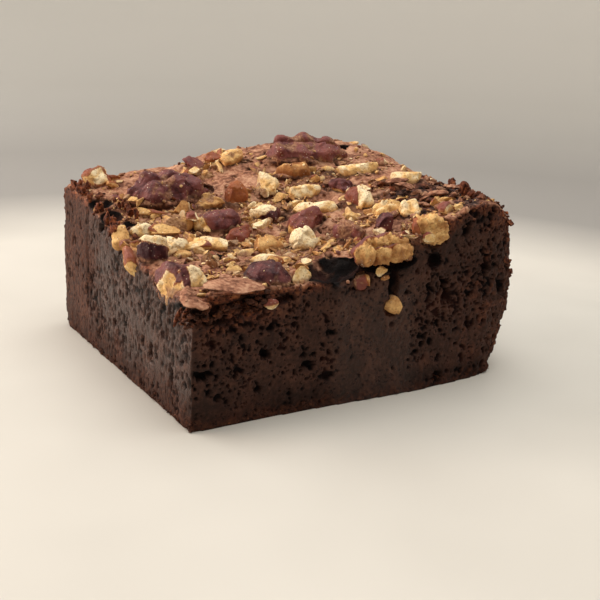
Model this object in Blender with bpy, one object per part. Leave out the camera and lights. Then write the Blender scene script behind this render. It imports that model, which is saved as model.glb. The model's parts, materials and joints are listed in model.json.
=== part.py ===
"""A corner square of chocolate brownie with a crust of broken pecans.

The brownie stands on its flat base. The long knife-cut side faces -Y, the short one faces -X,
and the two sides that baked against the tin face +X and +Y. Every pecan piece lies in a pocket
of its own in the crust. Lengths are in metres; tables are in millimetres, from the cut corner.
"""

import math
import random

import bmesh
import bpy
from mathutils import Euler, Matrix, Vector, noise

MM = 0.001

# The block
WIDTH = 76.0                # along the long cut side, X
DEPTH = 67.0                # from the long cut side to the tin side behind it, Y
CELL = 5.0                  # length of the block's facets
LAYERS = 7                  # rows of facets up a wall
EDGE_PULL = 0.45            # how much finer the facets are near the edges, 0 to 1
LEVEL = 0.001               # how high a point may lie and still count as on the base

# Height of the crust at even steps along each edge
FRONT_HEIGHTS = (23.8, 25.2, 25.0, 27.1, 32.3, 37.0, 35.5)
BACK_HEIGHTS = (33.7, 35.6, 36.9, 40.2, 41.2, 41.8, 40.2)
LEFT_HEIGHTS = (23.8, 24.0, 25.0, 26.9, 30.1, 32.4, 33.7)
RIGHT_HEIGHTS = (35.5, 35.8, 36.6, 37.6, 39.5, 41.0, 40.2)
HEAVE = ((15.0, 0.8), (6.0, 0.4))   # wave length and height of the crust's swells

# Walls and corners
CUT_RIM = 0.9               # rounding of the crust over a knife cut
TIN_RIM = 4.5               # rounding of the crust over a baked side
TIN_FOOT = 2.0              # rounding of a baked side into the base
CORNER_RADII = {"front_left": 1.2, "front_right": 9.5, "back_left": 1.5, "back_right": 12.0}
RIGHT_BARREL = 3.2          # how far the right side swells at half height
RIGHT_TUCK = 1.0            # how far it draws in at the base
BACK_BARREL = 1.4
FRONT_SWELL = 1.8           # bulge of the long cut's foot
FRONT_SWELL_AT = 50.0
FRONT_SWELL_LENGTH = 22.0
WALL_WAVE = (7.0, 0.35)     # wave length and height of the unevenness of the walls

# Hollows: name, centre, half sizes, turn about Z in degrees
HOLLOWS = (
    ("blow_hole", (29.4, 3.6, 27.6), (4.8, 4.6, 4.4), 0),
    ("blow_hole_lip", (31.0, -0.6, 25.2), (2.6, 2.6, 2.0), 0),
    ("notch", (43.0, -0.4, 22.6), (1.4, 2.6, 3.6), 0),
    ("undercut", (3.0, -1.2, 20.9), (5.0, 3.2, 1.7), 0),
    ("undercut_right", (10.4, -1.0, 22.2), (5.2, 2.8, 1.7), 0),
    ("undercut_left", (-1.2, 3.6, 21.0), (2.4, 4.2, 1.4), 0),
    ("corner_pit", (2.4, 50.5, 32.4), (1.7, 1.7, 2.2), 0),
    ("edge_pit_back", (1.6, 41.0, 29.8), (1.3, 1.3, 1.6), 0),
    ("right_pit", (65.5, 17.5, 37.6), (2.6, 1.3, 1.7), -25),
    ("back_slit", (63.0, 50.0, 41.0), (2.1, 0.9, 1.4), -60),
)

# Pecans
POCKET_GAP = 0.3            # play between a piece and its pocket
COARSE_GAP = 0.8            # play where the pocket is coarser than its piece
LIE = 0.5                   # the part of a piece's height that is sunk when its rise is 0

# Each piece: name, form, place on the crust, (length, width, height), turn in degrees,
# then anything of: rise (above the usual lie), at (a height of its own), lean and roll in degrees,
# and breaks, the flat fractures, each as (azimuth, elevation, distance) on the unbroken piece
PECANS = (
    ("half_left", "half", (17.5, 46.5), (20.0, 10.5, 6.4), 9, {"rise": 0.5}),
    ("half_back", "half", (51.6, 48.1), (19.5, 9.5, 6.4), -24, {"rise": 0.2}),
    ("half_edge", "half", (41.2, 2.3), (14.5, 6.4, 5.8), 3,
     {"rise": -0.2, "lean": -24, "roll": 38}),
    ("slice_back_left", "slice", (45.4, 41.0), (11.0, 3.8, 3.4), -21, {"rise": 1.2}),
    ("slice_back_right", "slice", (57.0, 34.6), (13.5, 3.8, 3.2), -22, {"rise": 0.5}),
    ("slice_far_right", "slice", (61.6, 22.6), (10.0, 3.8, 2.8), -23, {"rise": 0.6}),
    ("slice_curved_left", "slice", (41.4, 32.8), (9.4, 3.4, 3.4), -14, {"rise": 0.9}),
    ("slice_curved_right", "slice", (41.0, 26.6), (12.0, 3.2, 3.4), -34, {"rise": 0.5}),
    ("slice_slim", "slice", (16.0, 22.8), (9.4, 3.0, 2.8), -40, {"rise": 0.4}),
    ("slice_over_red", "slice", (22.2, 13.2), (7.6, 2.6, 2.4), -14, {"rise": 0.5}),
    ("slice_edge", "slice", (0.7, 34.6), (6.6, 2.8, 2.8), 75, {"at": 27.6, "lean": 62}),
    ("wedge_yellow", "wedge", (36.7, 38.2), (6.8, 5.6, 5.6), -40,
     {"rise": 1.6, "breaks": ((200, 25, 0.55), (60, 20, 0.6), (300, 10, 0.6))}),
    ("wedge_red", "wedge", (48.8, 22.1), (7.0, 4.6, 5.2), -75,
     {"rise": 1.0, "breaks": ((90, 20, 0.55), (180, 0, 0.7))}),
    ("nub_brown", "quarter", (29.2, 39.0), (5.6, 4.6, 6.2), 50, {"rise": 0.8, "lean": -35}),
    ("stick_dark", "quarter", (20.6, 30.7), (11.6, 5.0, 4.6), 8,
     {"rise": 0.8, "breaks": ((180, 10, 0.72),)}),
    ("quarter_red", "quarter", (36.4, 21.8), (9.6, 6.0, 5.4), 12,
     {"rise": 0.7, "breaks": ((180, 0, 0.8),)}),
    ("quarter_purple", "quarter", (40.3, 12.0), (7.4, 5.4, 5.0), -82,
     {"rise": 0.6, "breaks": ((180, 0, 0.8),)}),
    ("round_red", "quarter", (17.8, 4.9), (9.0, 7.8, 6.6), -21,
     {"rise": -0.3, "breaks": ((8, -5, 0.8),)}),
    ("big_purple", "quarter", (4.2, 10.4), (11.8, 9.2, 8.8), -38,
     {"rise": -0.9, "breaks": ((12, 15, 0.42), (202, 0, 0.58))}),
    ("cube_dark", "quarter", (3.3, 22.8), (5.0, 4.4, 7.4), -32,
     {"rise": 0.7, "breaks": ((0, 0, 0.62), (90, 60, 0.7))}),
    ("chunk_olive", "chunk", (22.6, 39.9), (8.0, 4.8, 4.4), 20, {"rise": 0.3}),
    ("chunk_purple", "chunk", (49.8, 30.6), (7.2, 4.0, 3.8), -35, {"rise": 0.2}),
    ("chunk_round", "chunk", (31.8, 16.2), (6.0, 5.2, 5.0), 0, {"rise": 0.8}),
    ("chunk_oblong", "chunk", (25.2, 18.4), (6.6, 4.2, 4.2), 5, {"rise": 0.7}),
    ("chunk_tan", "chunk", (51.8, 1.5), (7.6, 5.6, 7.6), 0,
     {"rise": -0.6, "breaks": ((268, 10, 0.55), (20, 40, 0.7))}),
    ("chunk_pair_left", "chunk", (50.6, 14.8), (6.6, 5.0, 4.2), 0, {"rise": 0.4}),
    ("chunk_pair_right", "chunk", (53.8, 9.4), (5.2, 4.0, 3.8), -40, {"rise": 0.4}),
    ("chunk_corner", "chunk", (5.4, 59.4), (6.4, 5.2, 5.2), 22, {"rise": 0.8}),
    ("chunk_lump", "chunk", (12.2, 32.8), (6.2, 5.0, 4.2), 0, {"rise": 0.3}),
    ("chunk_left", "chunk", (5.6, 34.4), (5.4, 3.8, 3.4), -30, {"rise": 0.2}),
    ("chunk_back", "chunk", (36.4, 54.6), (6.4, 4.2, 3.6), 11, {"rise": 0.3}),
    ("flake_orange", "wedge", (22.2, 25.6), (7.6, 5.2, 3.4), 31, {"rise": 0.3}),
    ("flake_light", "chunk", (8.4, 24.8), (7.0, 4.0, 3.6), -60, {"rise": 0.3}),
    ("shell_dark", "quarter", (32.0, 30.4), (7.4, 5.0, 4.2), -36, {"rise": 0.2}),
    ("chunk_in_face", "chunk", (35.2, 0.9), (4.6, 3.8, 3.2), 10, {"at": 24.0}),
    ("stub_in_face", "quarter", (43.2, 0.9), (3.8, 3.6, 3.6), 75, {"at": 17.8}),
)

FINE, COARSE = 3, 2         # subdivisions of the ball that a piece starts from
CHUNK_BREAKS = 4            # fractures of a chunk whose row names none
LUMPINESS = 0.09            # unevenness of a piece, as a part of its size
SHORTEST_EDGE = 0.02        # of a piece, as a part of its half length

BROWNIE_COLOUR = (0.035, 0.018, 0.013)
SKIN_COLOUR = (0.085, 0.028, 0.022)
KERNEL_COLOUR = (0.52, 0.33, 0.13)


def clear_scene():
    for old in list(bpy.data.objects):
        bpy.data.objects.remove(old, do_unlink=True)


def new_collection(name):
    group = bpy.data.collections.new(name)
    bpy.context.scene.collection.children.link(group)
    return group


def new_material(name, colour, roughness):
    material = bpy.data.materials.new(name)
    material.use_nodes = True
    shader = material.node_tree.nodes["Principled BSDF"]
    shader.inputs["Base Color"].default_value = (*colour, 1.0)
    shader.inputs["Roughness"].default_value = roughness
    shader.inputs["Metallic"].default_value = 0.0
    return material


def new_object(name, mesh, group, material=None):
    """An object of a finished bmesh, whose lengths are in millimetres."""
    bmesh.ops.scale(mesh, vec=(MM, MM, MM), verts=mesh.verts)
    data = bpy.data.meshes.new(name)
    mesh.to_mesh(data)
    mesh.free()
    if material:
        data.materials.append(material)
    made = bpy.data.objects.new(name, data)
    group.objects.link(made)
    return made


def along(heights, share):
    """The height at a share, 0 to 1, of an edge: a smooth curve through even steps."""
    last = len(heights) - 1
    place = min(max(share, 0.0), 1.0) * last
    step = min(int(place), last - 1)
    part = place - step
    before = heights[max(step - 1, 0)]
    here, after = heights[step], heights[step + 1]
    beyond = heights[min(step + 2, last)]
    slope = after - before
    bend = 2 * before - 5 * here + 4 * after - beyond
    twist = 3 * (here - after) + beyond - before
    return here + 0.5 * part * (slope + part * (bend + part * twist))


def swell(point, waves):
    length, height = waves
    return height * noise.noise(point / length)


def crust_height(x, y):
    """Height of the crust: the four edge curves blended over the square, and its swells."""
    u, v = x / WIDTH, y / DEPTH
    front, back = along(FRONT_HEIGHTS, u), along(BACK_HEIGHTS, u)
    left, right = along(LEFT_HEIGHTS, v), along(RIGHT_HEIGHTS, v)
    u, v = min(max(u, 0.0), 1.0), min(max(v, 0.0), 1.0)
    corners = (
        (1 - u) * (1 - v) * FRONT_HEIGHTS[0] + u * (1 - v) * FRONT_HEIGHTS[-1]
        + (1 - u) * v * BACK_HEIGHTS[0] + u * v * BACK_HEIGHTS[-1]
    )
    blend = (1 - v) * front + v * back + (1 - u) * left + u * right - corners
    return blend + sum(swell(Vector((x, y, 0.0)), wave) for wave in HEAVE)


def crust_tilt(x, y):
    """Rotation that lays a level thing on the crust at this place."""
    reach = 2.0
    rise_x = crust_height(x + reach, y) - crust_height(x - reach, y)
    rise_y = crust_height(x, y + reach) - crust_height(x, y - reach)
    normal = Vector((-rise_x, -rise_y, 2 * reach)).normalized()
    return Vector((0, 0, 1)).rotation_difference(normal).to_matrix()


def rounded(inset, drop, radius):
    """Moves a point of a square edge onto a round one; both lengths run inwards from the edge."""
    over, under = radius - inset, radius - drop
    if radius <= 0 or over <= 0 or under <= 0:
        return inset, drop
    shrink = max(over, under) / math.hypot(over, under)
    return radius - over * shrink, radius - under * shrink


def block_point(u, v, w):
    """Where a point of the unit cube lies on the brownie."""
    x, y = u * WIDTH, v * DEPTH
    top = crust_height(x, y)
    z = w * top

    # rims under the crust and at the foot, wall by wall
    sink = top - z
    x, sink = rounded(x, sink, CUT_RIM)
    y, sink = rounded(y, sink, CUT_RIM)
    far, sink = rounded(WIDTH - x, sink, TIN_RIM)
    x = WIDTH - far
    far, sink = rounded(DEPTH - y, sink, TIN_RIM)
    y = DEPTH - far
    z = top - sink
    far, z = rounded(WIDTH - x, z, TIN_FOOT)
    x = WIDTH - far
    far, z = rounded(DEPTH - y, z, TIN_FOOT)
    y = DEPTH - far

    # upright corners
    from_left, from_right = x, WIDTH - x
    from_front, from_back = y, DEPTH - y
    side = "left" if from_left < from_right else "right"
    end = "front" if from_front < from_back else "back"
    radius = CORNER_RADII[f"{end}_{side}"]
    across, along_y = rounded(min(from_left, from_right), min(from_front, from_back), radius)
    x = across if side == "left" else WIDTH - across
    y = along_y if end == "front" else DEPTH - along_y

    # swollen walls
    x += u * (RIGHT_BARREL * math.sin(math.pi * w) - RIGHT_TUCK * (1 - w) ** 4)
    y += v * BACK_BARREL * math.sin(math.pi * w)
    hump = math.exp(-((x - FRONT_SWELL_AT) / FRONT_SWELL_LENGTH) ** 2)
    y -= (1 - v) ** 6 * FRONT_SWELL * hump * (1 - w) ** 4
    wave = swell(Vector((x, y, z)) + Vector((40, 0, 0)), WALL_WAVE)
    if w > 0:
        x += (2 * u - 1) ** 9 * wave
        y += (2 * v - 1) ** 9 * wave
    return Vector((x, y, z))


def even_cuts(count):
    """Places of the cuts that share a unit length in this many cells, finer at both ends."""
    for step in range(1, count):
        share = step / count
        yield share - EDGE_PULL * math.sin(math.tau * share) / math.tau


def make_block():
    """The brownie before its hollows: a sliced cube whose points are moved onto its form."""
    mesh = bmesh.new()
    bmesh.ops.create_cube(mesh, size=1.0, matrix=Matrix.Translation((0.5, 0.5, 0.5)))
    counts = (round(WIDTH / CELL), round(DEPTH / CELL), LAYERS)
    for axis, count in enumerate(counts):
        normal = Vector((0, 0, 0))
        normal[axis] = 1
        for place in even_cuts(count):
            everything = mesh.verts[:] + mesh.edges[:] + mesh.faces[:]
            bmesh.ops.bisect_plane(mesh, geom=everything, plane_co=normal * place, plane_no=normal)
    for vertex in mesh.verts:
        vertex.co = block_point(*vertex.co)
    base = [face for face in mesh.faces if all(vertex.co.z < LEVEL for vertex in face.verts)]
    bmesh.ops.dissolve_faces(mesh, faces=base)
    return mesh


def pecan_point(form, point, seed):
    """Moves a point of the unit ball onto a pecan piece; X runs along the kernel."""
    x, y, z = point
    if form == "half":
        furrow = math.exp(-(y / 0.2) ** 2)
        ripples = 1 + 0.07 * math.cos(3.5 * math.pi * x)
        z = z * (1 - 0.3 * furrow) * ripples if z > 0 else z * 0.45
        y *= (1 - 0.16 * x) * ripples
    elif form == "quarter":
        z += 0.12 * (1 - x * x)
        y *= 1 - 0.12 * x
    elif form == "slice":
        y += 0.5 * (x * x - 0.4)
        z *= 1 - 0.25 * math.cos(2.5 * math.pi * x)
    elif form == "wedge":
        slim = 1 - 0.5 * (x + 1) / 2
        y, z = y * slim, z * slim
    moved = Vector((x, y, z))
    return moved * (1 + LUMPINESS * noise.noise(moved * 1.7 + Vector((seed * 7.3, 0, 0))))


def break_off(mesh, azimuth, elevation, distance):
    """Takes off what lies beyond a plane, and closes the piece with a flat fracture."""
    turn = Euler((0, math.radians(-elevation), math.radians(azimuth)))
    normal = Vector((1, 0, 0))
    normal.rotate(turn)
    everything = mesh.verts[:] + mesh.edges[:] + mesh.faces[:]
    cut = bmesh.ops.bisect_plane(
        mesh, geom=everything, dist=1e-5, plane_co=normal * distance, plane_no=normal, clear_outer=True
    )
    rim = [item for item in cut["geom_cut"] if isinstance(item, bmesh.types.BMEdge)]
    bmesh.ops.contextual_create(mesh, geom=rim)


def chunk_breaks(seed):
    """Fractures all round a chunk, each in its own sector."""
    dice = random.Random(seed)
    for step in range(CHUNK_BREAKS):
        azimuth = 360 * step / CHUNK_BREAKS + dice.uniform(-30, 30)
        yield azimuth, dice.uniform(-20, 50), dice.uniform(0.55, 0.8)


def make_piece(form, size, breaks, seed, fineness, play=0.0):
    """A pecan piece about its own centre, with play added all round."""
    mesh = bmesh.new()
    bmesh.ops.create_icosphere(mesh, subdivisions=fineness, radius=1.0)
    for vertex in mesh.verts:
        vertex.co = pecan_point(form, vertex.co, seed)
    if form == "chunk" and not breaks:
        breaks = tuple(chunk_breaks(seed))
    for fracture in breaks:
        break_off(mesh, *fracture)
    bmesh.ops.dissolve_degenerate(mesh, dist=SHORTEST_EDGE, edges=mesh.edges[:])
    bmesh.ops.recalc_face_normals(mesh, faces=mesh.faces[:])
    spans = [max(v.co[axis] for v in mesh.verts) - min(v.co[axis] for v in mesh.verts) for axis in range(3)]
    scale = [(length + 2 * play) / span for length, span in zip(size, spans)]
    bmesh.ops.scale(mesh, vec=scale, verts=mesh.verts)
    return mesh


def lie_of(place, size, turn, settings):
    """Position and rotation of a piece."""
    x, y = place
    own = Euler((math.radians(settings.get("roll", 0)), math.radians(-settings.get("lean", 0)), 0))
    facing = Matrix.Rotation(math.radians(turn), 3, "Z") @ own.to_matrix()
    if "at" in settings:
        return Vector((x, y, settings["at"])), facing
    height = crust_height(x, y) + settings.get("rise", 0.0) + (0.5 - LIE) * size[2]
    return Vector((x, y, height)), crust_tilt(x, y) @ facing


def place_object(made, position, rotation):
    made.matrix_world = Matrix.Translation(position * MM) @ rotation.to_4x4()


def cut_with(body, cutter):
    cutter.hide_render = True
    cutter.display_type = "WIRE"
    modifier = body.modifiers.new(cutter.name, "BOOLEAN")
    modifier.operation = "DIFFERENCE"
    modifier.solver = "EXACT"
    modifier.object = cutter


def make_pecans(group, cutters, body, skin, kernel):
    for seed, (name, form, place, size, turn, settings) in enumerate(PECANS):
        breaks = settings.get("breaks", ())
        position, rotation = lie_of(place, size, turn, settings)
        material = kernel if form in ("slice", "chunk") else skin
        fineness, gap = (FINE, COARSE_GAP) if form == "half" else (COARSE, POCKET_GAP)
        piece_mesh = make_piece(form, size, breaks, seed, fineness)
        piece = new_object(f"pecan_{name}", piece_mesh, group, material)
        place_object(piece, position, rotation)
        pocket_mesh = make_piece(form, size, breaks, seed, COARSE, gap)
        pocket = new_object(f"pocket_{name}", pocket_mesh, cutters)
        place_object(pocket, position, rotation)
        cut_with(body, pocket)


def make_hollows(cutters, body):
    for seed, (name, centre, half_sizes, turn) in enumerate(HOLLOWS):
        mesh = bmesh.new()
        bmesh.ops.create_icosphere(mesh, subdivisions=COARSE, radius=1.0)
        for vertex in mesh.verts:
            vertex.co *= 1 + 0.2 * noise.noise(vertex.co * 1.5 + Vector((0, seed * 5.1, 0)))
        bmesh.ops.scale(mesh, vec=half_sizes, verts=mesh.verts)
        hollow = new_object(f"hollow_{name}", mesh, cutters)
        place_object(hollow, Vector(centre), Matrix.Rotation(math.radians(turn), 3, "Z"))
        cut_with(body, hollow)


def settle(objects):
    """Moves everything so that the origin is the middle of the whole object's base."""
    bpy.context.view_layer.update()
    graph = bpy.context.evaluated_depsgraph_get()
    corners = []
    for made in objects:
        if made.hide_render:
            continue
        shape = made.evaluated_get(graph)
        corners += [shape.matrix_world @ vertex.co for vertex in shape.data.vertices]
    low = Vector([min(corner[axis] for corner in corners) for axis in range(3)])
    high = Vector([max(corner[axis] for corner in corners) for axis in range(3)])
    shift = Vector((-(low.x + high.x) / 2, -(low.y + high.y) / 2, -low.z))
    for made in objects:
        made.location += shift


def main():
    clear_scene()
    group = new_collection("chocolate_brownie")
    cutters = new_collection("cutters")
    crumb = new_material("brownie", BROWNIE_COLOUR, 0.6)
    skin = new_material("pecan_skin", SKIN_COLOUR, 0.5)
    kernel = new_material("pecan_kernel", KERNEL_COLOUR, 0.6)
    body = new_object("brownie", make_block(), group, crumb)
    make_hollows(cutters, body)
    make_pecans(group, cutters, body, skin, kernel)
    settle(list(group.objects) + list(cutters.objects))


main()
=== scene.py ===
import itertools
import json
import math

import bmesh
import bpy
import numpy as np
from mathutils import Matrix, Vector
from mathutils.bvhtree import BVHTree
from mathutils.kdtree import KDTree


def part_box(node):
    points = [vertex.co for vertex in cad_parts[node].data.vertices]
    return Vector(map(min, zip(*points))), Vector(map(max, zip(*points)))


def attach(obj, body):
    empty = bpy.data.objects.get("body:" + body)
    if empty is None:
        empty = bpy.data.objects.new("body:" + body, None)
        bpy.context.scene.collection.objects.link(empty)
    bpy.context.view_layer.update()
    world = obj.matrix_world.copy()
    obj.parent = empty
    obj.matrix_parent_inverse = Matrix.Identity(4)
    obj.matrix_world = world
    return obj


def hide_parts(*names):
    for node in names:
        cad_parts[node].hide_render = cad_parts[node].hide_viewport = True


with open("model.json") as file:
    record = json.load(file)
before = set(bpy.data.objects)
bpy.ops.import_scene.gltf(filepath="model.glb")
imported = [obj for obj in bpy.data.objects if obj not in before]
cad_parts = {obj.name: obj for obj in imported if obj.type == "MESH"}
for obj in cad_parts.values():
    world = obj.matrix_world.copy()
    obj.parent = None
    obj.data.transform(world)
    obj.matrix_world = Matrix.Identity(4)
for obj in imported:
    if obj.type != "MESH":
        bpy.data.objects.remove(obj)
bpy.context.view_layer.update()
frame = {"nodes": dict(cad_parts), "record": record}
nodes = frame["nodes"]
scene = bpy.context.scene
mm = 0.001
brownieLow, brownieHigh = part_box("brownie")
# foot of the corner between the two knife cuts, in mm
cutCorner = np.array(brownieLow) / mm + (0.24, 1.84, 0)
print("frame loaded:", len(nodes), "nodes, cut corner at", cutCorner.round(2), "mm")


def hexToLinear(text):
    parts = [int(text[i:i + 2], 16) / 255 for i in (1, 3, 5)]
    return tuple(c / 12.92 if c < 0.04045 else ((c + 0.055) / 1.055) ** 2.4 for c in parts) + (1.0,)


def ease(low, high, values):   # 0 below low, 1 above high, smooth between
    t = np.clip((np.asarray(values, float) - low) / (high - low), 0, 1)
    return t * t * (3 - 2 * t)


def hashed(cells, seed):   # one number from 0 to 1 for each whole-number cell
    mixed = (cells[..., 0] * 374761393 + cells[..., 1] * 668265263 + cells[..., 2] * 2147483647
             + seed * 1274126177) & 0xFFFFFFFF
    mixed = ((mixed ^ (mixed >> 13)) * 1274126177) & 0xFFFFFFFF
    return ((mixed ^ (mixed >> 16)) & 0xFFFF) / 65535.0


def lumps(points, size, seed=0, layers=1):   # smooth noise, -1 to 1, with lumps about size mm across
    total, share, reach = 0.0, 1.0, 0.0
    for layer in range(layers):
        place = points / (size * 0.5 ** layer) + 17.3 * layer
        cell = np.floor(place).astype(np.int64)
        part = place - cell
        part = part ** 3 * (part * (part * 6 - 15) + 10)
        value = 0.0
        for corner in itertools.product((0, 1), repeat=3):
            weight = np.prod(np.where(corner, part, 1 - part), axis=-1)
            value = value + weight * hashed(cell + np.array(corner), seed + 31 * layer)
        total = total + share * (value * 2 - 1)
        reach += share
        share *= 0.5
    return total / reach


def grains(points, size, seed=0):   # distance to the nearest of dots strewn size mm apart, as a part of size
    place = points / size
    cell = np.floor(place).astype(np.int64)
    nearest = np.full(len(points), 9.0)
    for step in itertools.product((-1, 0, 1), repeat=3):
        there = cell + np.array(step)
        dot = there + np.stack([hashed(there, seed + k) for k in (1, 2, 3)], -1)
        nearest = np.minimum(nearest, np.sqrt(((dot - place) ** 2).sum(-1)))
    return nearest


def readPoints(mesh):
    points = np.empty(len(mesh.vertices) * 3)
    mesh.vertices.foreach_get("co", points)
    return points.reshape(-1, 3) / mm


def writePoints(mesh, points):
    mesh.vertices.foreach_set("co", (points * mm).ravel())
    mesh.update()


def readNormals(mesh):
    normals = np.empty(len(mesh.vertices) * 3)
    mesh.vertices.foreach_get("normal", normals)
    return normals.reshape(-1, 3)


def paint(mesh, name, values):   # a number at each vertex, for the material to read
    layer = mesh.attributes.get(name) or mesh.attributes.new(name, "FLOAT", "POINT")
    layer.data.foreach_set("value", np.asarray(values, np.float32))


def applied(obj):   # the object's mesh with its modifiers worked in
    mesh = bpy.data.meshes.new_from_object(obj.evaluated_get(bpy.context.evaluated_depsgraph_get()))
    obj.modifiers.clear()
    old, obj.data = obj.data, mesh
    bpy.data.meshes.remove(old)
    return mesh


def newPiece(name, mesh, material):
    obj = bpy.data.objects.new(name, mesh)
    scene.collection.objects.link(obj)
    if material:
        mesh.materials.clear()
        mesh.materials.append(material)
        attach(obj, "root")
    return obj


def nodeShape(name):   # a CAD node's mesh, welded
    shape = bmesh.new()
    shape.from_mesh(nodes[name].data)
    bmesh.ops.remove_doubles(shape, verts=shape.verts, dist=1e-6)
    bmesh.ops.recalc_face_normals(shape, faces=shape.faces)
    return shape


def smoothShade(mesh):
    mesh.polygons.foreach_set("use_smooth", np.ones(len(mesh.polygons), bool))


def average(mesh, values, rounds):   # each vertex takes the mean of its neighbours, over and over
    ends = np.empty(len(mesh.edges) * 2, np.int64)
    mesh.edges.foreach_get("vertices", ends)
    a, b = ends[0::2], ends[1::2]
    count = np.bincount(ends, minlength=len(mesh.vertices)).astype(float)
    values = np.array(values, float)
    for step in range(rounds):
        total = np.zeros_like(values)
        np.add.at(total, a, values[b])
        np.add.at(total, b, values[a])
        values = total / (count[:, None] if values.ndim > 1 else count)
    return values


def newMaterial(name):
    material = bpy.data.materials.new(name)
    material.use_nodes = True
    tree = material.node_tree
    return material, tree, tree.nodes["Principled BSDF"]


def addNode(tree, kind, inputs=None, stops=None, **settings):
    node = tree.nodes.new("ShaderNode" + kind)
    for key, value in settings.items():
        setattr(node, key, value)
    for socket, value in (inputs or {}).items():
        if isinstance(value, bpy.types.NodeSocket):
            tree.links.new(value, node.inputs[socket])
        else:
            node.inputs[socket].default_value = value
    if stops:
        ends = node.color_ramp.elements
        while len(ends) < len(stops):
            ends.new(0.5)
        for end, (place, colour) in zip(ends, stops):
            end.position = place
            end.color = hexToLinear(colour) if isinstance(colour, str) else (colour,) * 3 + (1.0,)
    return node


def perMm(size):   # a texture's scale for features this many mm across
    return 1 / (size * mm)


# brownie: crumb, knife cuts, baked sides and crust, one closed mesh
brownie = {
    "cutLong": 76,               # length of the long cut at its foot, mm
    "cutShort": 67,              # the short one's
    "grid": 0.30,                # mm between points before thinning
    "quickGrid": 1.6,            # how much coarser a quick, rough grid would be
    "triangles": 196000,
    "fillSpare": 0.25,           # how far the crust closes in on a pecan, mm
    "halfSpare": 0.9,            # the same for the pecan halves
    "fillHeight": 0.4,           # how high it climbs, as a part of the pecan's height
    "fillInset": 0.7,            # how far it stays behind the two cuts, mm
    "hug": 0.35,                 # how far the crust swells up beside a pecan, mm
    "crustStops": ((0.40, "#673d2b"), (0.5, "#a06e54"), (0.61, "#c49678")),
    "crumbStops": ((0.36, "#29160e"), (0.5, "#3c2319"), (0.64, "#4f3124")),
    "rustStops": ((0.35, "#38140a"), (0.52, "#70361d"), (0.7, "#a05c30")),
    "tornStops": ((0.35, "#20120e"), (0.5, "#3e2720"), (0.7, "#7a6058")),
    # near-black for pores, hollows and the foot of the cuts: painted shade, over the moist crumb's own dark
    # red
    "poreStops": ((0.4, "#060202"), (0.5, "#0e0504"), (0.64, "#260d07")),
    # hollows that go deep: middle in mm from the cut corner, and half sizes
    "hollows": {
        "blow hole": ((29.6, 2.9, 28.4), (6.0, 5.6, 4.8)),
        "notch": ((42.9, -0.4, 23.0), (1.1, 3.2, 4.2)),
        "under the half": ((41.2, 0.2, 27.0), (6.2, 3.4, 1.9)),
        "undercut": ((4.2, -1.2, 21.4), (6.2, 3.0, 1.9)),
        "undercut right": ((12.6, -1.0, 22.6), (6.6, 2.6, 1.5)),
        "undercut left": ((-1.0, 3.2, 21.6), (1.9, 3.8, 1.3)),
        "corner pit": ((2.2, 49.3, 32.6), (2.6, 2.6, 3.2)),
        "rim pit": ((2.0, 42.4, 30.6), (2.2, 2.4, 2.4)),
        "rim pit near": ((4.2, 38.2, 30.0), (1.5, 1.9, 1.5)),
        "pit behind the cube": ((14.0, 18.1, 27.2), (1.5, 1.5, 1.8)),
        "right pit": ((64.4, 17.2, 38.0), (2.8, 1.4, 1.9)),
        "back slit": ((62.8, 49.6, 41.6), (2.4, 1.0, 1.7)),
        "face pit": ((52.6, -0.3, 26.4), (1.7, 2.0, 1.6)),
    },
}


def browniePlain():   # the CAD form with its pockets filled to crust level, on an even grid
    whole = nodeShape("brownie")
    leftmost, foremost = (cutCorner[:2] + brownie["fillInset"]) * mm
    for name in sorted(nodes):
        if name == "brownie":
            continue
        nut = nodeShape(name)
        nut.normal_update()
        spare = brownie["halfSpare" if "half" in name else "fillSpare"] * mm
        low = min(v.co.z for v in nut.verts)
        for v in nut.verts:
            v.co = v.co + v.normal * spare
        for v in nut.verts:
            v.co.z = low + (v.co.z - low) * brownie["fillHeight"]
            v.co.x = max(v.co.x, leftmost)
            v.co.y = max(v.co.y, foremost)
        extra = bpy.data.meshes.new("extra")
        nut.to_mesh(extra)
        whole.from_mesh(extra)
        bpy.data.meshes.remove(extra)
        nut.free()
    mesh = bpy.data.meshes.new("brownie")
    whole.to_mesh(mesh)
    whole.free()
    obj = newPiece("brownieBody", mesh, None)
    grid = obj.modifiers.new("grid", "REMESH")
    grid.mode = "VOXEL"
    grid.voxel_size = brownie["grid"] * mm * 1
    mesh = applied(obj)
    shape = bmesh.new()
    shape.from_mesh(mesh)
    keepLargest(shape)
    shape.to_mesh(mesh)
    shape.free()
    return obj


def keepLargest(shape):   # deletes everything but the largest connected piece
    seen, groups = set(), []
    for start in shape.verts:
        if start in seen:
            continue
        group, edge = [], [start]
        seen.add(start)
        while edge:
            v = edge.pop()
            group.append(v)
            for link in v.link_edges:
                other = link.other_vert(v)
                if other not in seen:
                    seen.add(other)
                    edge.append(other)
        groups.append(group)
    groups.sort(key=len)
    for group in groups[:-1]:
        bmesh.ops.delete(shape, geom=group, context="VERTS")


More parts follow.
